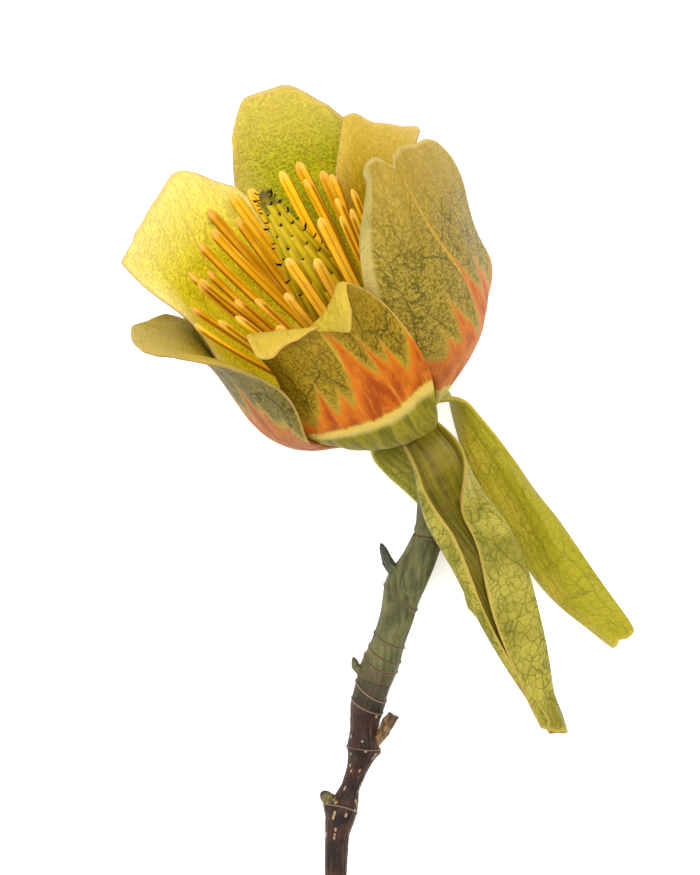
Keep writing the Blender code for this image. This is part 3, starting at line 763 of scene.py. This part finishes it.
def sepal_skin(
    name, outside, outside_pale, net, inside, inside_dark, strip, net_strength, painted_glow, far_side=None,
):
    finish = Finish(name)
    across, along, face = (finish.held("blade", part) for part in range(3))
    flat = finish.held("flat")
    wavy = finish.jog(flat, 0.6, 0.7)
    long_veins = finish.cell_walls(finish.stretch(wavy, (0.55, 0.12, 1)), 1)
    wide_net = finish.cell_walls(finish.stretch(wavy, (1.1, 0.8, 1)), 1)
    fine_net = finish.cell_walls(finish.stretch(wavy, (2.6, 2.1, 1)), 1)
    soft = finish.cloud(flat, 0.18, 3)
    grain = finish.cloud(flat, 2.2, 4)
    outer = finish.blend(soft.rise(0.35, 0.65), paint(outside), paint(outside_pale))
    outer = finish.blend(grain.rise(0.45, 0.75) * 0.4, outer, paint(outside_pale))
    if far_side:
        outer = finish.blend(across.rise(0.15, -0.35) * 0.8, outer, paint(far_side))
    outer = finish.coats(
        outer,
        (fine_net.rise(0.09, 0.0) * 0.4 * net_strength, net),
        (wide_net.rise(0.07, 0.01) * 0.6 * net_strength, net),
        (long_veins.rise(0.035, 0.005) * 0.7 * net_strength, net),
    )
    lines = finish.cloud(finish.stretch(flat, (2.6, 0.05, 1)), 1, 3)
    inner = finish.blend(lines.rise(0.38, 0.6), paint(inside_dark), paint(inside))
    inner = finish.coats(
        inner,
        (soft.rise(0.45, 0.75) * 0.4, strip),
        (grain.rise(0.5, 0.8) * 0.3, inside_dark),
    )
    skin = finish.blend(face.rise(-0.4, 0.4), inner, outer)
    margin = abs(across).rise(0.94, 1.0).larger(along.rise(0.98, 1.0))
    skin = finish.blend(margin * 0.7, skin, paint(strip))
    dry = abs(across).rise(0.97, 1.0) * soft.rise(0.5, 0.62)
    skin = finish.blend(dry * 0.8, skin, paint("9c6a2a"))
    veins = long_veins.rise(0.0, 0.1) * 0.4 + wide_net.rise(0.0, 0.1) * 0.3
    return finish.surface(
        relief=veins + lines * 0.4 + grain * 0.25,
        depth=0.12 * MM,
        strength=0.5,
        Base_Color=skin,
        # The skin also gives off a little light of its own colour: a painted glow that stands in for
        # light passing through the thin sepal.
        Emission_Color=skin,
        Emission_Strength=painted_glow,
        Roughness=0.45 + 0.15 * grain,
        Specular_IOR_Level=0.22,
        Subsurface_Weight=0.15,
        Subsurface_Radius=(1.0, 0.9, 0.1),
        Subsurface_Scale=0.5 * MM,
    )


SEPALS = {
    "sepal_front": dict(
        azimuth=20, length=44, width=18, seat_radius=4.5, seat_height=-1.8, foot=120, wall=163,
        tip=160, shoulder=0, shoulder_end=0.12, sway=-16, sway_end=0.2, claw=7.5, widest=0.5,
        top_width=0.5, crown=0.05, twist=-10, turn_left=150, turn_right=165, flap_left=3.5,
        flap_right=6.5, turn_from=0.04, turn_end=0.35, cup_left=3, cup_right=3, seed=2,
        nudge_wide=0.5,
        nudges=(
            (1, 0.1, -2.1, -1.3), (1, 0.2, -1.2, -0.7), (1, 0.35, 0.3, -0.3),
            (1, 0.5, -1.7, -0.5), (1, 0.65, -2.4, -0.8), (1, 0.8, -0.9, -0.5),
            (-1, 0.2, -0.3, 0.2), (-1, 0.35, 0.7, -0.4), (-1, 0.5, 1.4, -1),
            (-1, 0.65, 0.3, -0.4), (1, 1, 0.2, 0.7), (0, 1, -0.4, 0.2), (-1, 1, -0.2, 0.4),
            (-0.5, 0.1, -2.2, 0), (-0.5, 0.28, -1.6, 0),
        ),
    ),
    "sepal_right": dict(
        azimuth=98, length=42, width=13, seat_radius=4.5, seat_height=-1.4, foot=115, wall=188,
        tip=174, shoulder=0, shoulder_end=0.12, sway=-27, sway_end=0.2, claw=6, widest=0.5,
        top_width=0.5, crown=0.05, twist=35, turn_left=110, turn_right=110, turn_from=0.12,
        turn_end=0.5, cup_left=3, cup_right=3, seed=3,
        nudge_wide=0.5, nudge_long=0.18,
        nudges=(
            (-1, 0.2, 1.1, -0.3), (-1, 0.35, 1.6, 0.8), (-1, 0.5, 0.2, 0.8),
            (-1, 0.65, 0.7, -0.8), (-1, 0.8, -0.6, -0.6), (-1, 0.9, -1.6, 1), (-1, 1, -1.7, 1.2),
            (0, 0.5, -0.1, -0.4), (0, 0.65, 0.2, 0.8), (0, 0.8, 0.4, 0.3), (0, 0.9, -0.8, -0.5),
            (0, 1, -1.9, -0.1), (1, 1, -1.6, 1.3),
        ),
    ),
    "sepal_left": dict(
        azimuth=-130, length=31, width=9, seat_radius=4.0, seat_height=-2.2, foot=135, wall=215,
        tip=176, shoulder=0, shoulder_end=0.16, flare_from=0.2, sway=36, sway_from=0.28,
        sway_end=0.56, twist=-40, claw=4.5, widest=0.45, top_width=0.5, crown=0.05, turn_left=30,
        turn_right=30, turn_from=0.3, turn_end=0.6, cup_left=3, cup_right=3, seed=4,
    ),
}
SEPAL_SKINS = {
    "sepal_front": ("7f7418", "a69938", "4c5202", "7c7000", "544c00", "bca04a", 0.9, 0.02),
    "sepal_right": (
        "a49612", "b8a42c", "666604", "8f8800", "6b6700", "c4a640", 0.7, 0.05, "968c0a",
    ),
    "sepal_left": ("8f891f", "a9a13e", "666e14", "a9a02c", "7f7d14", "c2b45c", 0.7, 0.02),
}
for sepal_name, own_shape in SEPALS.items():
    sepal = SimpleNamespace(**{**BLADE, "wave": 0.3, "ripple": 0.2, "thick": 0.6, **own_shape})
    dress(
        grown_blade(sepal_name + "_blade", sepal),
        sepal_skin(sepal_name + " skin", *SEPAL_SKINS[sepal_name]), "sepal", sepal_name,
    )


# Six petals in two rings of three: thick waxy cups, olive green outside with a stippled net of
# veins, a flame-edged orange band low down and a cream foot. Inside they are bright yellow-green.
def petal_skin(
    name, outside="6e651c", outside_pale="80762e", speck="b0954a", net="41460c", inside="8e8c00",
    inside_pale="c4b83c", inside_margin="d2bd7a", margin="c9ae66", margin_wide=0.035,
    flame="c4690a", flame_deep="973c02", band_low=0.14, band_top=0.2, band_slope=0.0,
    tongues=(), rib=(0.0, 0.0), left_strip=0.0, foot="b5a04a", foot_green=0.0, painted_glow=0.05,
):
    finish = Finish(name)
    across, along, face = (finish.held("blade", part) for part in range(3))
    flat = finish.held("flat")
    wavy = finish.jog(flat, 0.5, 0.9)
    soft = finish.cloud(flat, 0.13, 3)
    grain = finish.cloud(flat, 1.6, 4)
    streaks = finish.cloud(finish.stretch(wavy, (1.1, 0.11, 1)), 1, 3)
    squiggles = finish.cloud(finish.stretch(flat, (2.0, 1.6, 1)), 1, 2).ridge(0.1)
    dots = finish.cloud(finish.stretch(flat, (2.6, 2.1, 1)), 1, 2)
    side_veins = finish.cell_walls(finish.stretch(wavy, (0.24, 0.12, 1)), 1)
    wide_net = finish.cell_walls(finish.stretch(wavy, (0.55, 0.4, 1)), 1)

    outer = finish.blend(soft.rise(0.38, 0.64), paint(outside), paint(outside_pale))
    outer = finish.coats(
        outer,
        (squiggles * (0.35 + 0.55 * grain), speck),
        (dots.rise(0.55, 0.64) * 0.5, speck),
        (dots.rise(0.45, 0.36) * 0.4, net),
        (wide_net.rise(0.05, 0.02) * 0.35, net),
        (side_veins.rise(0.03, 0.008) * 0.7, net),
    )
    rib_off = across - rib[0] - rib[1] * along + (streaks - 0.5) * 0.03
    rib_line = abs(rib_off).rise(0.026, 0.008) * along.rise(0.97, 0.85)
    outer = finish.blend(rib_line * 0.75, outer, paint("c4972c"))
    pale_end = along.rise(0.65, 1.0) * 0.6
    outer = finish.blend(pale_end, outer, paint(speck))

    inner = finish.blend(soft.rise(0.42, 0.7) * 0.4, paint(inside), paint(inside_pale))
    inner = finish.coats(
        inner,
        (squiggles * (0.4 + 0.6 * grain), inside_pale),
        (dots.rise(0.57, 0.66) * 0.7, inside_pale),
        (dots.rise(0.42, 0.34) * 0.35, "7c7d00"),
        (side_veins.rise(0.03, 0.01) * 0.4, "8d7a10"),
        (rib_line * 0.5, "b39426"),
    )
    pale_edge = abs(across).rise(0.5, 1.05).larger(along.rise(0.72, 1.05))
    inner = finish.coats(
        inner,
        (pale_edge * (0.3 + 0.8 * grain), inside_margin),
        (pale_edge * wide_net.rise(0.04, 0.01) * 0.3, "a3903a"),
    )

    skin = finish.blend(face.rise(-0.4, 0.4), inner, outer)
    edge = abs(across).rise(1 - margin_wide, 1.0).larger(along.rise(0.98, 1.0))
    skin = finish.blend(edge * 0.8, skin, paint(margin))

    if left_strip:
        strip = across.rise(left_strip, left_strip - 0.05) * along.rise(0.42, 0.6)
        strip_skin = finish.blend(soft.rise(0.35, 0.65), paint("96873a"), paint("b8a45c"))
        skin = finish.blend(strip * (0.75 + 0.3 * grain), skin, strip_skin)

    licks = finish.cloud(finish.stretch(wavy, (1.1, 0.1, 1)), 1, 2)
    patches = finish.cloud(finish.stretch(wavy, (0.4, 0.2, 1)), 1, 3)
    top = band_top + band_slope * across + (licks - 0.5) * 0.2
    wiggle = (streaks - 0.5) * 0.1
    for tongue_at, tongue_lean, tongue_tip, tongue_wide in tongues:
        off = abs(across + wiggle - tongue_at - tongue_lean * (along - tongue_tip))
        fall = (off / tongue_wide) ** 0.6 * (tongue_tip - band_top)
        top = top.larger(tongue_tip - fall)
    inside_band = top - along
    low = band_low + (licks - 0.5) * 0.03
    above_foot = (along - low).rise(0.0, 0.02)
    band = inside_band.rise(-0.01, 0.02) * above_foot
    halo = inside_band.rise(-0.07, 0.0) * above_foot
    deep = inside_band.rise(0.0, 0.13) * patches.rise(0.32, 0.6)
    fire = finish.blend(deep, paint(flame), paint(flame_deep))
    fire = finish.coats(
        fire,
        (streaks.rise(0.5, 0.75) * 0.5, "d98a26"),
        (dots.rise(0.62, 0.7) * 0.35, "8c3a08"),
    )
    skin = finish.blend(halo * 0.55, skin, paint("b8932c"))
    skin = finish.blend(band * 0.97, skin, fire)
    foot_skin = finish.blend(grain * 0.6, paint(foot), paint("cbb878"))
    foot_skin = finish.blend((along - low).rise(-0.03, 0.0) * 0.6, foot_skin, paint("cfa63a"))
    if foot_green:
        green_foot = finish.blend(streaks.rise(0.35, 0.65), paint("625a00"), paint("8a7d14"))
        foot_skin = finish.blend(along.rise(foot_green, foot_green - 0.03), foot_skin, green_foot)
    skin = finish.blend((along - low).rise(0.015, 0.0), skin, foot_skin)
    return finish.surface(
        relief=squiggles * 0.4 + wide_net.rise(0.0, 0.12) * 0.4 + streaks * 0.6 + grain * 0.4,
        depth=0.24 * MM,
        strength=0.7,
        Base_Color=skin,
        # The inner face gives off a little light of its own colour and the outer face none: a painted
        # glow that stands in for light passing through the petal, strongest on the back left petal.
        Emission_Color=finish.blend(face.rise(-0.4, 0.4), skin, (0, 0, 0, 1)),
        Emission_Strength=painted_glow,
        Roughness=0.42 + 0.2 * grain,
        Specular_IOR_Level=0.12,
        Subsurface_Weight=0.15,
        Subsurface_Radius=(1.0, 0.9, 0.1),
        Subsurface_Scale=0.5 * MM,
    )


PETALS = {
    "petal_front": dict(
        azimuth=-17, length=34.4, width=20.8, foot=57, wall=-3, tip=-3, stand_out=0.8, roll=170,
        roll_length=5, crown=0.06, slant=-0.04, top_width=0.7, widest=0.45, cup_left=1.2,
        cup_right=3.0, twist=7, seed=11,
        nudge_wide=0.45,
        nudges=(
            (-1, 1, 1, 0.7), (0, 1, -0.2, -1.6), (0.5, 1, -0.3, -3), (-0.5, 1, 0.7, -0.8),
            (0.5, 0.9, 0.8, 3.4), (-0.5, 0.9, -1.3, -0.4), (1, 1, -0.7, 1.7),
            (-1, 0.9, -1.5, -0.7), (0, 0.9, -0.3, 1), (1, 0.9, -0.4, 2.8), (1, 0.8, 0.3, 1.9),
            (1, 0.65, 0.5, 2.3), (1, 0.5, 0.1, 1.2), (1, 0.35, -0.2, 2.6),
        ),
    ),
    "petal_right": dict(
        azimuth=57, length=45, width=26, claw=4.0, widest=0.5, foot=60, wall=9, tip=-8,
        flare_from=0.75, twist=12, cup_left=0.6, cup_right=0.9, notch=0.05, notch_at=-0.45,
        top_width=0.76, crown=0.05, slant=-0.05, stand_out=-1.0, turn_left=-60, flap_left=2.5,
        flap_bend=3, turn_from=0.62, turn_end=0.85, seed=12,
        nudge_wide=0.3, nudge_long=0.14,
        nudges=(
            (-1, 1, 3.4, 0.7), (-0.75, 1, 2, 0.3), (-0.5, 1, 2, 1.8), (-0.25, 1, 1.1, -1.3),
            (0, 1, 0.6, 1), (0.25, 1, -0.2, -0.3), (0.75, 1, 0.3, 0.2), (1, 1, 0.2, -1.2),
            (1, 0.9, 0.1, -0.9), (1, 0.8, 0.3, -1.1), (1, 0.65, 1.4, -1.2), (1, 0.5, 1.1, -1.4),
            (1, 0.35, 2.2, -0.9), (1, 0.2, -0.1, 0.9), (-1, 0.9, 0.9, 1.3), (-1, 0.8, -0.4, 1.8),
            (-1, 0.65, -0.4, 2.7), (-1, 0.5, -0.3, 1.9), (0, 0.8, -0.1, 0.7),
        ),
    ),
    "petal_back_right": dict(
        azimuth=101, length=38.5, width=20.5, claw=4.4, foot=50, wall=3, tip=54, flare_from=0.6,
        stand_out=-2.5, seat_height=0.8, top_width=0.98, crown=0.08, seed=13,
        nudges=(
            (1, 1, 0.6, 0.1), (0.75, 1, 0.8, -1.1), (0.5, 1, 0.4, -1.2), (0.25, 1, -0.1, -0.7),
            (0, 1, -0.5, -0.2), (-0.25, 1, -0.7, 0.2), (-0.5, 1, -0.9, 0.4),
            (-0.75, 1, -0.5, 0.2), (-1, 1, 0.1, 0.5), (1, 0.9, -1, 0.7), (1, 0.8, -1.8, 1.8),
        ),
    ),
    "petal_back": dict(
        azimuth=155, length=45.5, width=24, foot=58, wall=7, tip=9, crown=0.12, slant=0.04,
        stand_out=1.0, top_width=0.74, seed=14,
        nudges=(
            (-1, 1, 1.8, 0.3), (-0.75, 1, 0, -1.3), (-0.5, 1, -0.1, -1.3), (0, 1, -0.9, 0.8),
            (0.5, 1, 0.4, -0.3), (0.75, 1, -0.8, 0.9), (1, 1, -1, -0.3), (1, 0.9, 1.7, 0.1),
            (-1, 0.8, -0.3, 0.2),
        ),
    ),
    "petal_back_left": dict(
        azimuth=-136, length=42.4, width=26.6, foot=53, wall=6, tip=10, seat_height=0.8,
        top_width=0.96, crown=0.06, slant=0.1, stand_out=-0.7, turn_right=-30, flap_right=5,
        flap_bend=5, turn_from=0.7, turn_end=1.0, seed=15,
        nudges=(
            (-1, 1, 2.2, 0), (-0.5, 1, -1.1, 0.6), (-0.25, 1, -1.2, 0.8), (0, 1, -1.3, 0.3),
            (0.25, 1, -1.3, -0.4), (0.5, 1, -0.9, -0.6), (0.75, 1, 0, -0.5), (1, 1, 0.4, -0.6),
            (1, 0.9, -0.4, -0.2), (1, 0.8, -0.5, 0),
        ),
    ),
    "petal_left": dict(
        azimuth=-79, length=41, width=23, foot=54, wall=4, tip=62, flare_from=0.6, sway=-10,
        sway_from=0.6, sway_end=1, turn_right=-100, flap_right=3, turn_from=0.55, turn_end=0.85,
        stand_out=1.0, crown=0.22, top_width=0.6, seed=16,
        nudges=(
            (-1, 1, -0.1, 1.3), (-0.75, 1, -1.3, 0), (-0.5, 1, -2.5, -1.1), (-0.25, 1, -2.2, -1),
            (0, 1, -1.3, -0.4), (0.25, 1, -0.6, -0.1), (0.5, 1, 0.1, -1.1), (0.75, 1, 0, -0.7),
            (1, 1, -1, 1.7), (-1, 0.9, 0.4, -0.2),
        ),
    ),
}
PETAL_SKINS = {
    "petal_front": dict(
        outside="685400", outside_pale="7f6a04", speck="a9861a", net="3d3800", inside="938000",
        inside_pale="bda023", inside_margin="c4a63c", margin="c7a24a", band_low=0.42,
        band_top=0.5, band_slope=0.02, rib=(0.13, 0.0), foot_green=0.405, tongues=(
            (0.17, -0.3, 0.86, 0.3), (0.46, -0.5, 0.74, 0.16), (0.66, 0.1, 0.67, 0.15),
            (0.97, 0.1, 0.68, 0.2), (-0.36, 0.3, 0.66, 0.12), (-0.12, 0.2, 0.6, 0.12),
        ),
    ),
    "petal_right": dict(
        outside="6c5e04", outside_pale="82721a", speck="b5963c", net="413f04", rib=(0.57, -0.95),
        left_strip=-0.86, band_low=0.15, band_top=0.33, band_slope=0.02, flame="c46a1c",
        flame_deep="a44c06", tongues=(
            (0.88, 0.3, 0.5, 0.24), (0.45, -0.2, 0.56, 0.3), (-0.04, -1.0, 0.66, 0.24),
            (-0.27, -0.4, 0.55, 0.2), (-0.46, -0.2, 0.47, 0.2), (-0.78, 0.2, 0.36, 0.2),
        ),
    ),
    "petal_back_right": dict(
        inside="947a00", inside_pale="bc9c14", inside_margin="c8a848", rib=(-0.25, 0.0), painted_glow=0.08,
    ),
    "petal_back": dict(
        inside="858a00", inside_pale="c8be1c", inside_margin="d2bb5c", rib=(0.2, -0.3), painted_glow=0.1,
    ),
    "petal_back_left": dict(
        inside="b8b200", inside_pale="e6d628", inside_margin="e3cf86", rib=(-0.05, 0.0), painted_glow=0.28,
    ),
    "petal_left": dict(
        outside="4f4708", outside_pale="625714", speck="86753a", net="302f00", inside="85740c",
        inside_pale="a68f28", inside_margin="b59a3c", margin="b89a50", band_low=0.07,
        band_top=0.5, band_slope=-0.1, flame="a55a10", flame_deep="8a4206", tongues=(
            (0.4, 0.1, 0.69, 0.12), (0.56, 0.1, 0.6, 0.08), (0.8, 0.1, 0.54, 0.08),
        ),
    ),
}
for petal_name, own_shape in PETALS.items():
    petal = SimpleNamespace(**{**BLADE, **own_shape})
    dress(
        grown_blade(petal_name + "_blade", petal),
        petal_skin(petal_name + " skin", **PETAL_SKINS[petal_name]), "petal", petal_name,
    )


# The stamens stand round the foot of the pistil and fan out: a thin orange filament that widens
# into a long flat anther of two lobes. Golden ochre, with a pale blunt tip and brown slits.
STAMENS = (
    (180, 2.6, -167, 14.3, 33.2), (-176, 6.1, -173, 8.2, 35.5), (-156, 2.6, -155, 16.2, 32.6),
    (-142, 6.3, -144, 7.6, 34.0), (-166, 4.2, -140, 12.3, 32.7), (-138, 4.4, -124, 12.3, 33.6),
    (-108, 2.6, -112, 14.2, 31.6), (-132, 2.6, -123, 13.5, 29.1), (-92, 5.2, -87, 12.3, 33.2),
    (-113, 4.4, -97, 13.1, 31.5), (-87, 3.2, -90, 15.3, 30.1), (-65, 2.7, -81, 16.2, 29.2),
    (-48, 3.9, -67, 14.4, 29.5), (-30, 2.6, -54.5, 13.6, 30.0), (-70, 4.6, -68, 10.8, 29.8),
    (-53, 5.8, -50, 10.1, 29.8), (-10, 4.0, -23, 11.2, 30.2), (-16, 6.3, -14, 7.3, 32.6),
    (8, 5.2, 6, 9.6, 31.8), (152, 3.4, 151, 12.9, 33.3), (165, 5.0, 158, 9.8, 34.6),
    (143, 5.7, 138, 8.6, 33.2), (130, 3.9, 135, 11.6, 31.9), (121, 5.7, 112, 9.3, 33.3),
    (85, 4.2, 85, 9.8, 32.3), (99, 6.1, 96, 7.7, 31.5), (57, 4.8, 54, 10.0, 32.9),
    (72, 6.2, 63, 7.7, 31.4), (40, 6.1, 34, 7.5, 34.5), (11, 3.3, -8, 12.0, 26.0),
    (31, 4.1, 40, 11.0, 27.0), (-29, 4.8, -38, 12.0, 26.5),
)
STAMEN_SEAT_RADIUS = 3.0
STAMEN_KNEE = np.array((0.5, 0.5, 0.28))


def straight_stamen(around, along):
    """A stamen a unit long and standing straight, its width and depth in millimetres."""
    turn = around * math.tau
    along = 1 - (1 - along) ** 1.8
    anther = ease((along - 0.24) / 0.18)
    end = np.sqrt(np.clip(1 - ((along - 0.965) / 0.035).clip(0, 1) ** 2, 0, 1))
    heel = 1 - 0.25 * ease((0.05 - along) / 0.05)
    waist = 1 - 0.28 * np.exp(-((np.cos(turn) / 0.3) ** 2)) * anther * ease((0.95 - along) / 0.08)
    slit = 1 - 0.16 * np.exp(-((np.sin(turn) / 0.3) ** 2)) * anther * ease((0.93 - along) / 0.08)
    half_wide = (0.46 + 0.34 * anther) * end * heel * slit
    half_deep = (0.3 + 0.14 * anther) * end * heel * waist
    points = np.stack((np.cos(turn) * half_wide, np.sin(turn) * half_deep, along), 1)
    return points, {"strip": np.stack((np.cos(turn), along, np.sin(turn)), 1)}


def copied(pattern, points):
    """A copy of a piece with a mesh of its own, whose points are moved to their places."""
    piece = pattern.copy()
    piece.data = pattern.data.copy()
    bpy.context.scene.collection.objects.link(piece)
    move_points(piece.data, points)
    return piece


def stamen_skin():
    finish = Finish("anther skin")
    side, along, depth = (finish.held("strip", part) for part in range(3))
    tone = finish.held("tone", 0)
    front = finish.held("tone", 1)
    place = finish.place()
    grain = finish.cloud(place, 2600, 3)
    patch = finish.cloud(place, 260, 3)
    skin = finish.blend(tone.rise(0.0, 1.0), paint("bd8600"), paint("e0ad0c"))
    skin = finish.coats(
        skin,
        # Painted sheen: stamens that lean to the front, up towards the lamp, get a tan coat.
        (front * 0.5, "c99434"),
        (patch.rise(0.4, 0.7) * 0.4, "f0c030"),
    )
    groove = abs(side).rise(0.28, 0.08) * 0.45
    slits = abs(side).rise(0.82, 0.97) * 0.85
    skin = finish.coats(
        skin,
        (groove.larger(slits) * along.rise(0.26, 0.38), "7c4604"),
        (along.rise(0.32, 0.18), "f08a0c"),
        (along.rise(0.965, 0.985) * 0.4, "dcae58"),
        (grain.rise(0.55, 0.75) * 0.3, "8d560e"),
    )
    return finish.surface(
        relief=grain,
        depth=0.06 * MM,
        strength=0.6,
        Base_Color=skin,
        # The anthers give off light of their own colour: a painted glow that stands in for light
        # passing through them.
        Emission_Color=skin,
        Emission_Strength=0.34,
        Roughness=0.5 + 0.2 * grain,
        Specular_IOR_Level=0.2,
        Subsurface_Weight=0.3,
        Subsurface_Radius=(1.0, 0.6, 0.1),
        Subsurface_Scale=0.6 * MM,
    )


pattern = rolled("stamen_pattern", 18, 30, straight_stamen)
pattern_points = points_of(pattern.data)
anther_skin = stamen_skin()
stamen_dice = np.random.default_rng(40)
share = pattern_points[:, 2:]
for stamen_number, (foot_turn, foot_height, tip_turn, tip_out, tip_up) in enumerate(STAMENS, 1):
    foot_turn, tip_turn = math.radians(foot_turn), math.radians(tip_turn)
    foot_out = STAMEN_SEAT_RADIUS
    stamen_foot = np.array(
        (foot_out * math.cos(foot_turn), foot_out * math.sin(foot_turn), foot_height)
    )
    stamen_tip = np.array((tip_out * math.cos(tip_turn), tip_out * math.sin(tip_turn), tip_up))
    knee = stamen_foot + (stamen_tip - stamen_foot) * STAMEN_KNEE
    line = (1 - share) ** 2 * stamen_foot + 2 * share * (1 - share) * knee + share**2 * stamen_tip
    ahead = 2 * (1 - share) * (knee - stamen_foot) + 2 * share * (stamen_tip - knee)
    outward = line * (1, 1, 0)
    sideways = np.cross(ahead, outward)
    sideways /= np.linalg.norm(sideways, axis=1, keepdims=True)
    forth = np.cross(sideways, ahead / np.linalg.norm(ahead, axis=1, keepdims=True))
    bow, twist, curl, swing = stamen_dice.uniform(-1, 1, 4)
    spin = math.radians(24) * twist * share
    width, depth = pattern_points[:, :1], pattern_points[:, 1:2]
    aside = width * np.cos(spin) - depth * np.sin(spin)
    stands_out = width * np.sin(spin) + depth * np.cos(spin)
    bend = np.sin(share * math.pi) * share
    aside = aside + 0.35 * bow * bend
    stands_out = stands_out + 0.3 * curl * bend + 0.15 * np.sin(share * 9 + swing * 3) * share
    bent = line + sideways * aside + forth * stands_out
    stamen = copied(pattern, SEAT + bent @ np.array((FRONT, RIGHT, UP)) * MM)
    stamen.name = f"anther_{stamen_number:02d}"
    # How far a stamen leans to the front, up towards the lamp, sets the share of its painted sheen; it
    # goes on the points beside the stamen's random tone.
    painted_sheen_share = max(0.0, math.cos(tip_turn)) ** 2
    tone_and_sheen = (stamen_dice.uniform(), painted_sheen_share, 0)
    write(stamen.data, "tone", "FLOAT_VECTOR", np.tile(tone_and_sheen, (len(line), 1)))
    dress(stamen, anther_skin, "anther", f"stamen_{stamen_number:02d}")
bpy.data.objects.remove(pattern)


# The pistil: a tall cone of many carpels pressed together like scales, olive gold and ribbed
# lengthwise. Each ends in a small dry stigma, hooked and nearly black, with a tuft at the top.
PISTIL = (
    (0, 38.6), (0.7, 38.3), (1.05, 37), (1.35, 34.5), (2.2, 30.5), (3.1, 26), (3.8, 20.5),
    (4, 16), (3.4, 11), (2.5, 7.6), (0, 7.4),
)
CARPELS = 110
GOLDEN_TURN = math.radians(137.508)
carpel_share = (np.arange(CARPELS) + 0.5) / CARPELS
CARPEL_HEIGHTS = 37.2 - 27.5 * carpel_share**1.02
CARPEL_TURNS = (np.arange(CARPELS) * GOLDEN_TURN) % math.tau


def pistil_shape(around, along):
    radius, height = turned(PISTIL, around, along)
    turn = around * math.tau
    relief = np.zeros_like(radius)
    for at_height, at_turn in zip(CARPEL_HEIGHTS, CARPEL_TURNS):
        off = np.abs((turn - at_turn + math.pi) % math.tau - math.pi) * np.maximum(radius, 0.6)
        below = at_height - height
        rib = np.exp(-((off / 0.5) ** 2)) * ease((below + 0.35) / 0.7) * ease((9 - below) / 9)
        relief = np.maximum(relief, rib)
    radius = radius + (0.3 * relief - 0.12) * ease(radius / 0.8) * ease((height - 7.5) / 1.5)
    points = from_flower(radius, height, 0 * radius, turn)
    return points, {"skin": np.stack((relief, height, np.cos(turn)), 1)}


def pistil_skin():
    finish = Finish("carpel skin")
    rib, height, front = (finish.held("skin", part) for part in range(3))
    place = finish.place()
    grain = finish.cloud(place, 1400, 4)
    streak = finish.cloud(place, 420, 3)
    # The dark olive in the grooves between the carpels is painted shade, and the pale coat on the rib
    # crests is a painted highlight.
    skin = finish.blend(rib.rise(0.1, 0.85), paint("695c00"), paint("bca20c"))
    skin = finish.coats(
        skin,
        (streak.rise(0.42, 0.7) * 0.4, "9a9008"),
        (rib.rise(0.75, 1.0) * 0.5, "cbab2a"),
        (height.rise(37.4, 38.4) * 0.7, "3a1c08"),
        (grain.rise(0.55, 0.8) * 0.35, "5c4408"),
    )
    return finish.surface(
        relief=grain + streak,
        depth=0.1 * MM,
        strength=0.6,
        Base_Color=skin,
        # The cone gives off a little light of its own colour: a painted glow.
        Emission_Color=skin,
        Emission_Strength=0.1,
        Roughness=0.45 + 0.2 * grain,
        Specular_IOR_Level=0.25,
    )


dress(rolled("carpel_cone", 140, 220, pistil_shape), pistil_skin(), "pistil", "pistil")


def straight_stigma(around, along):
    """One stigma, a unit long: a small hook that leans over as it goes."""
    turn = around * math.tau
    thick = 0.17 * np.sqrt(np.clip(1 - along**3, 0, 1))
    lean = along * 1.7
    out = 0.75 * np.sin(lean) + thick * np.cos(turn) * np.cos(lean)
    up = 0.6 * (1 - np.cos(lean)) - thick * np.cos(turn) * np.sin(lean)
    return np.stack((out, up, thick * np.sin(turn)), 1), {}


def stigma_skin():
    finish = Finish("dry stigma")
    grain = finish.cloud(finish.place(), 3000, 3)
    return finish.surface(
        relief=grain,
        depth=0.05 * MM,
        Base_Color=finish.blend(grain.rise(0.35, 0.7), paint("070201"), paint("1f0d05")),
        Roughness=0.6,
        Specular_IOR_Level=0.1,
    )


stigma = rolled("stigma_pattern", 7, 6, straight_stigma)
stigma_points = points_of(stigma.data)
stigma_dice = np.random.default_rng(60)
walled = [corner for corner in PISTIL if corner[0] > 0][::-1]
TUFT_HOOKS = 14
hooks = []
for carpel in range(-TUFT_HOOKS, CARPELS):
    size, lean_over, flick = stigma_dice.uniform((0.6, -0.4, -0.6), (0.95, 0.4, 0.6))
    if carpel < 0:
        hook_height, hook_turn, size = 38.3 + 0.1 * carpel, carpel * 2.4, 0.75 * size
    else:
        hook_height, hook_turn = CARPEL_HEIGHTS[carpel], CARPEL_TURNS[carpel]
        size *= 1 - 0.25 * carpel_share[carpel]
    surface_radius = np.interp(
        hook_height, [corner[1] for corner in walled], [corner[0] for corner in walled]
    )
    out, up, aside = (stigma_points * size).T
    placed = from_flower(
        surface_radius + 0.05 + out, hook_height + up * (1 + lean_over), aside + flick * out,
        np.full(len(out), hook_turn),
    )
    hooks.append(copied(stigma, placed))
bpy.data.objects.remove(stigma)
bpy.ops.object.select_all(action="DESELECT")
for hook in hooks:
    hook.select_set(True)
bpy.context.view_layer.objects.active = hooks[0]
bpy.ops.object.join()
stigmas = bpy.context.object
stigmas.name = "stigmas"
dress(stigmas, stigma_skin(), "bud")
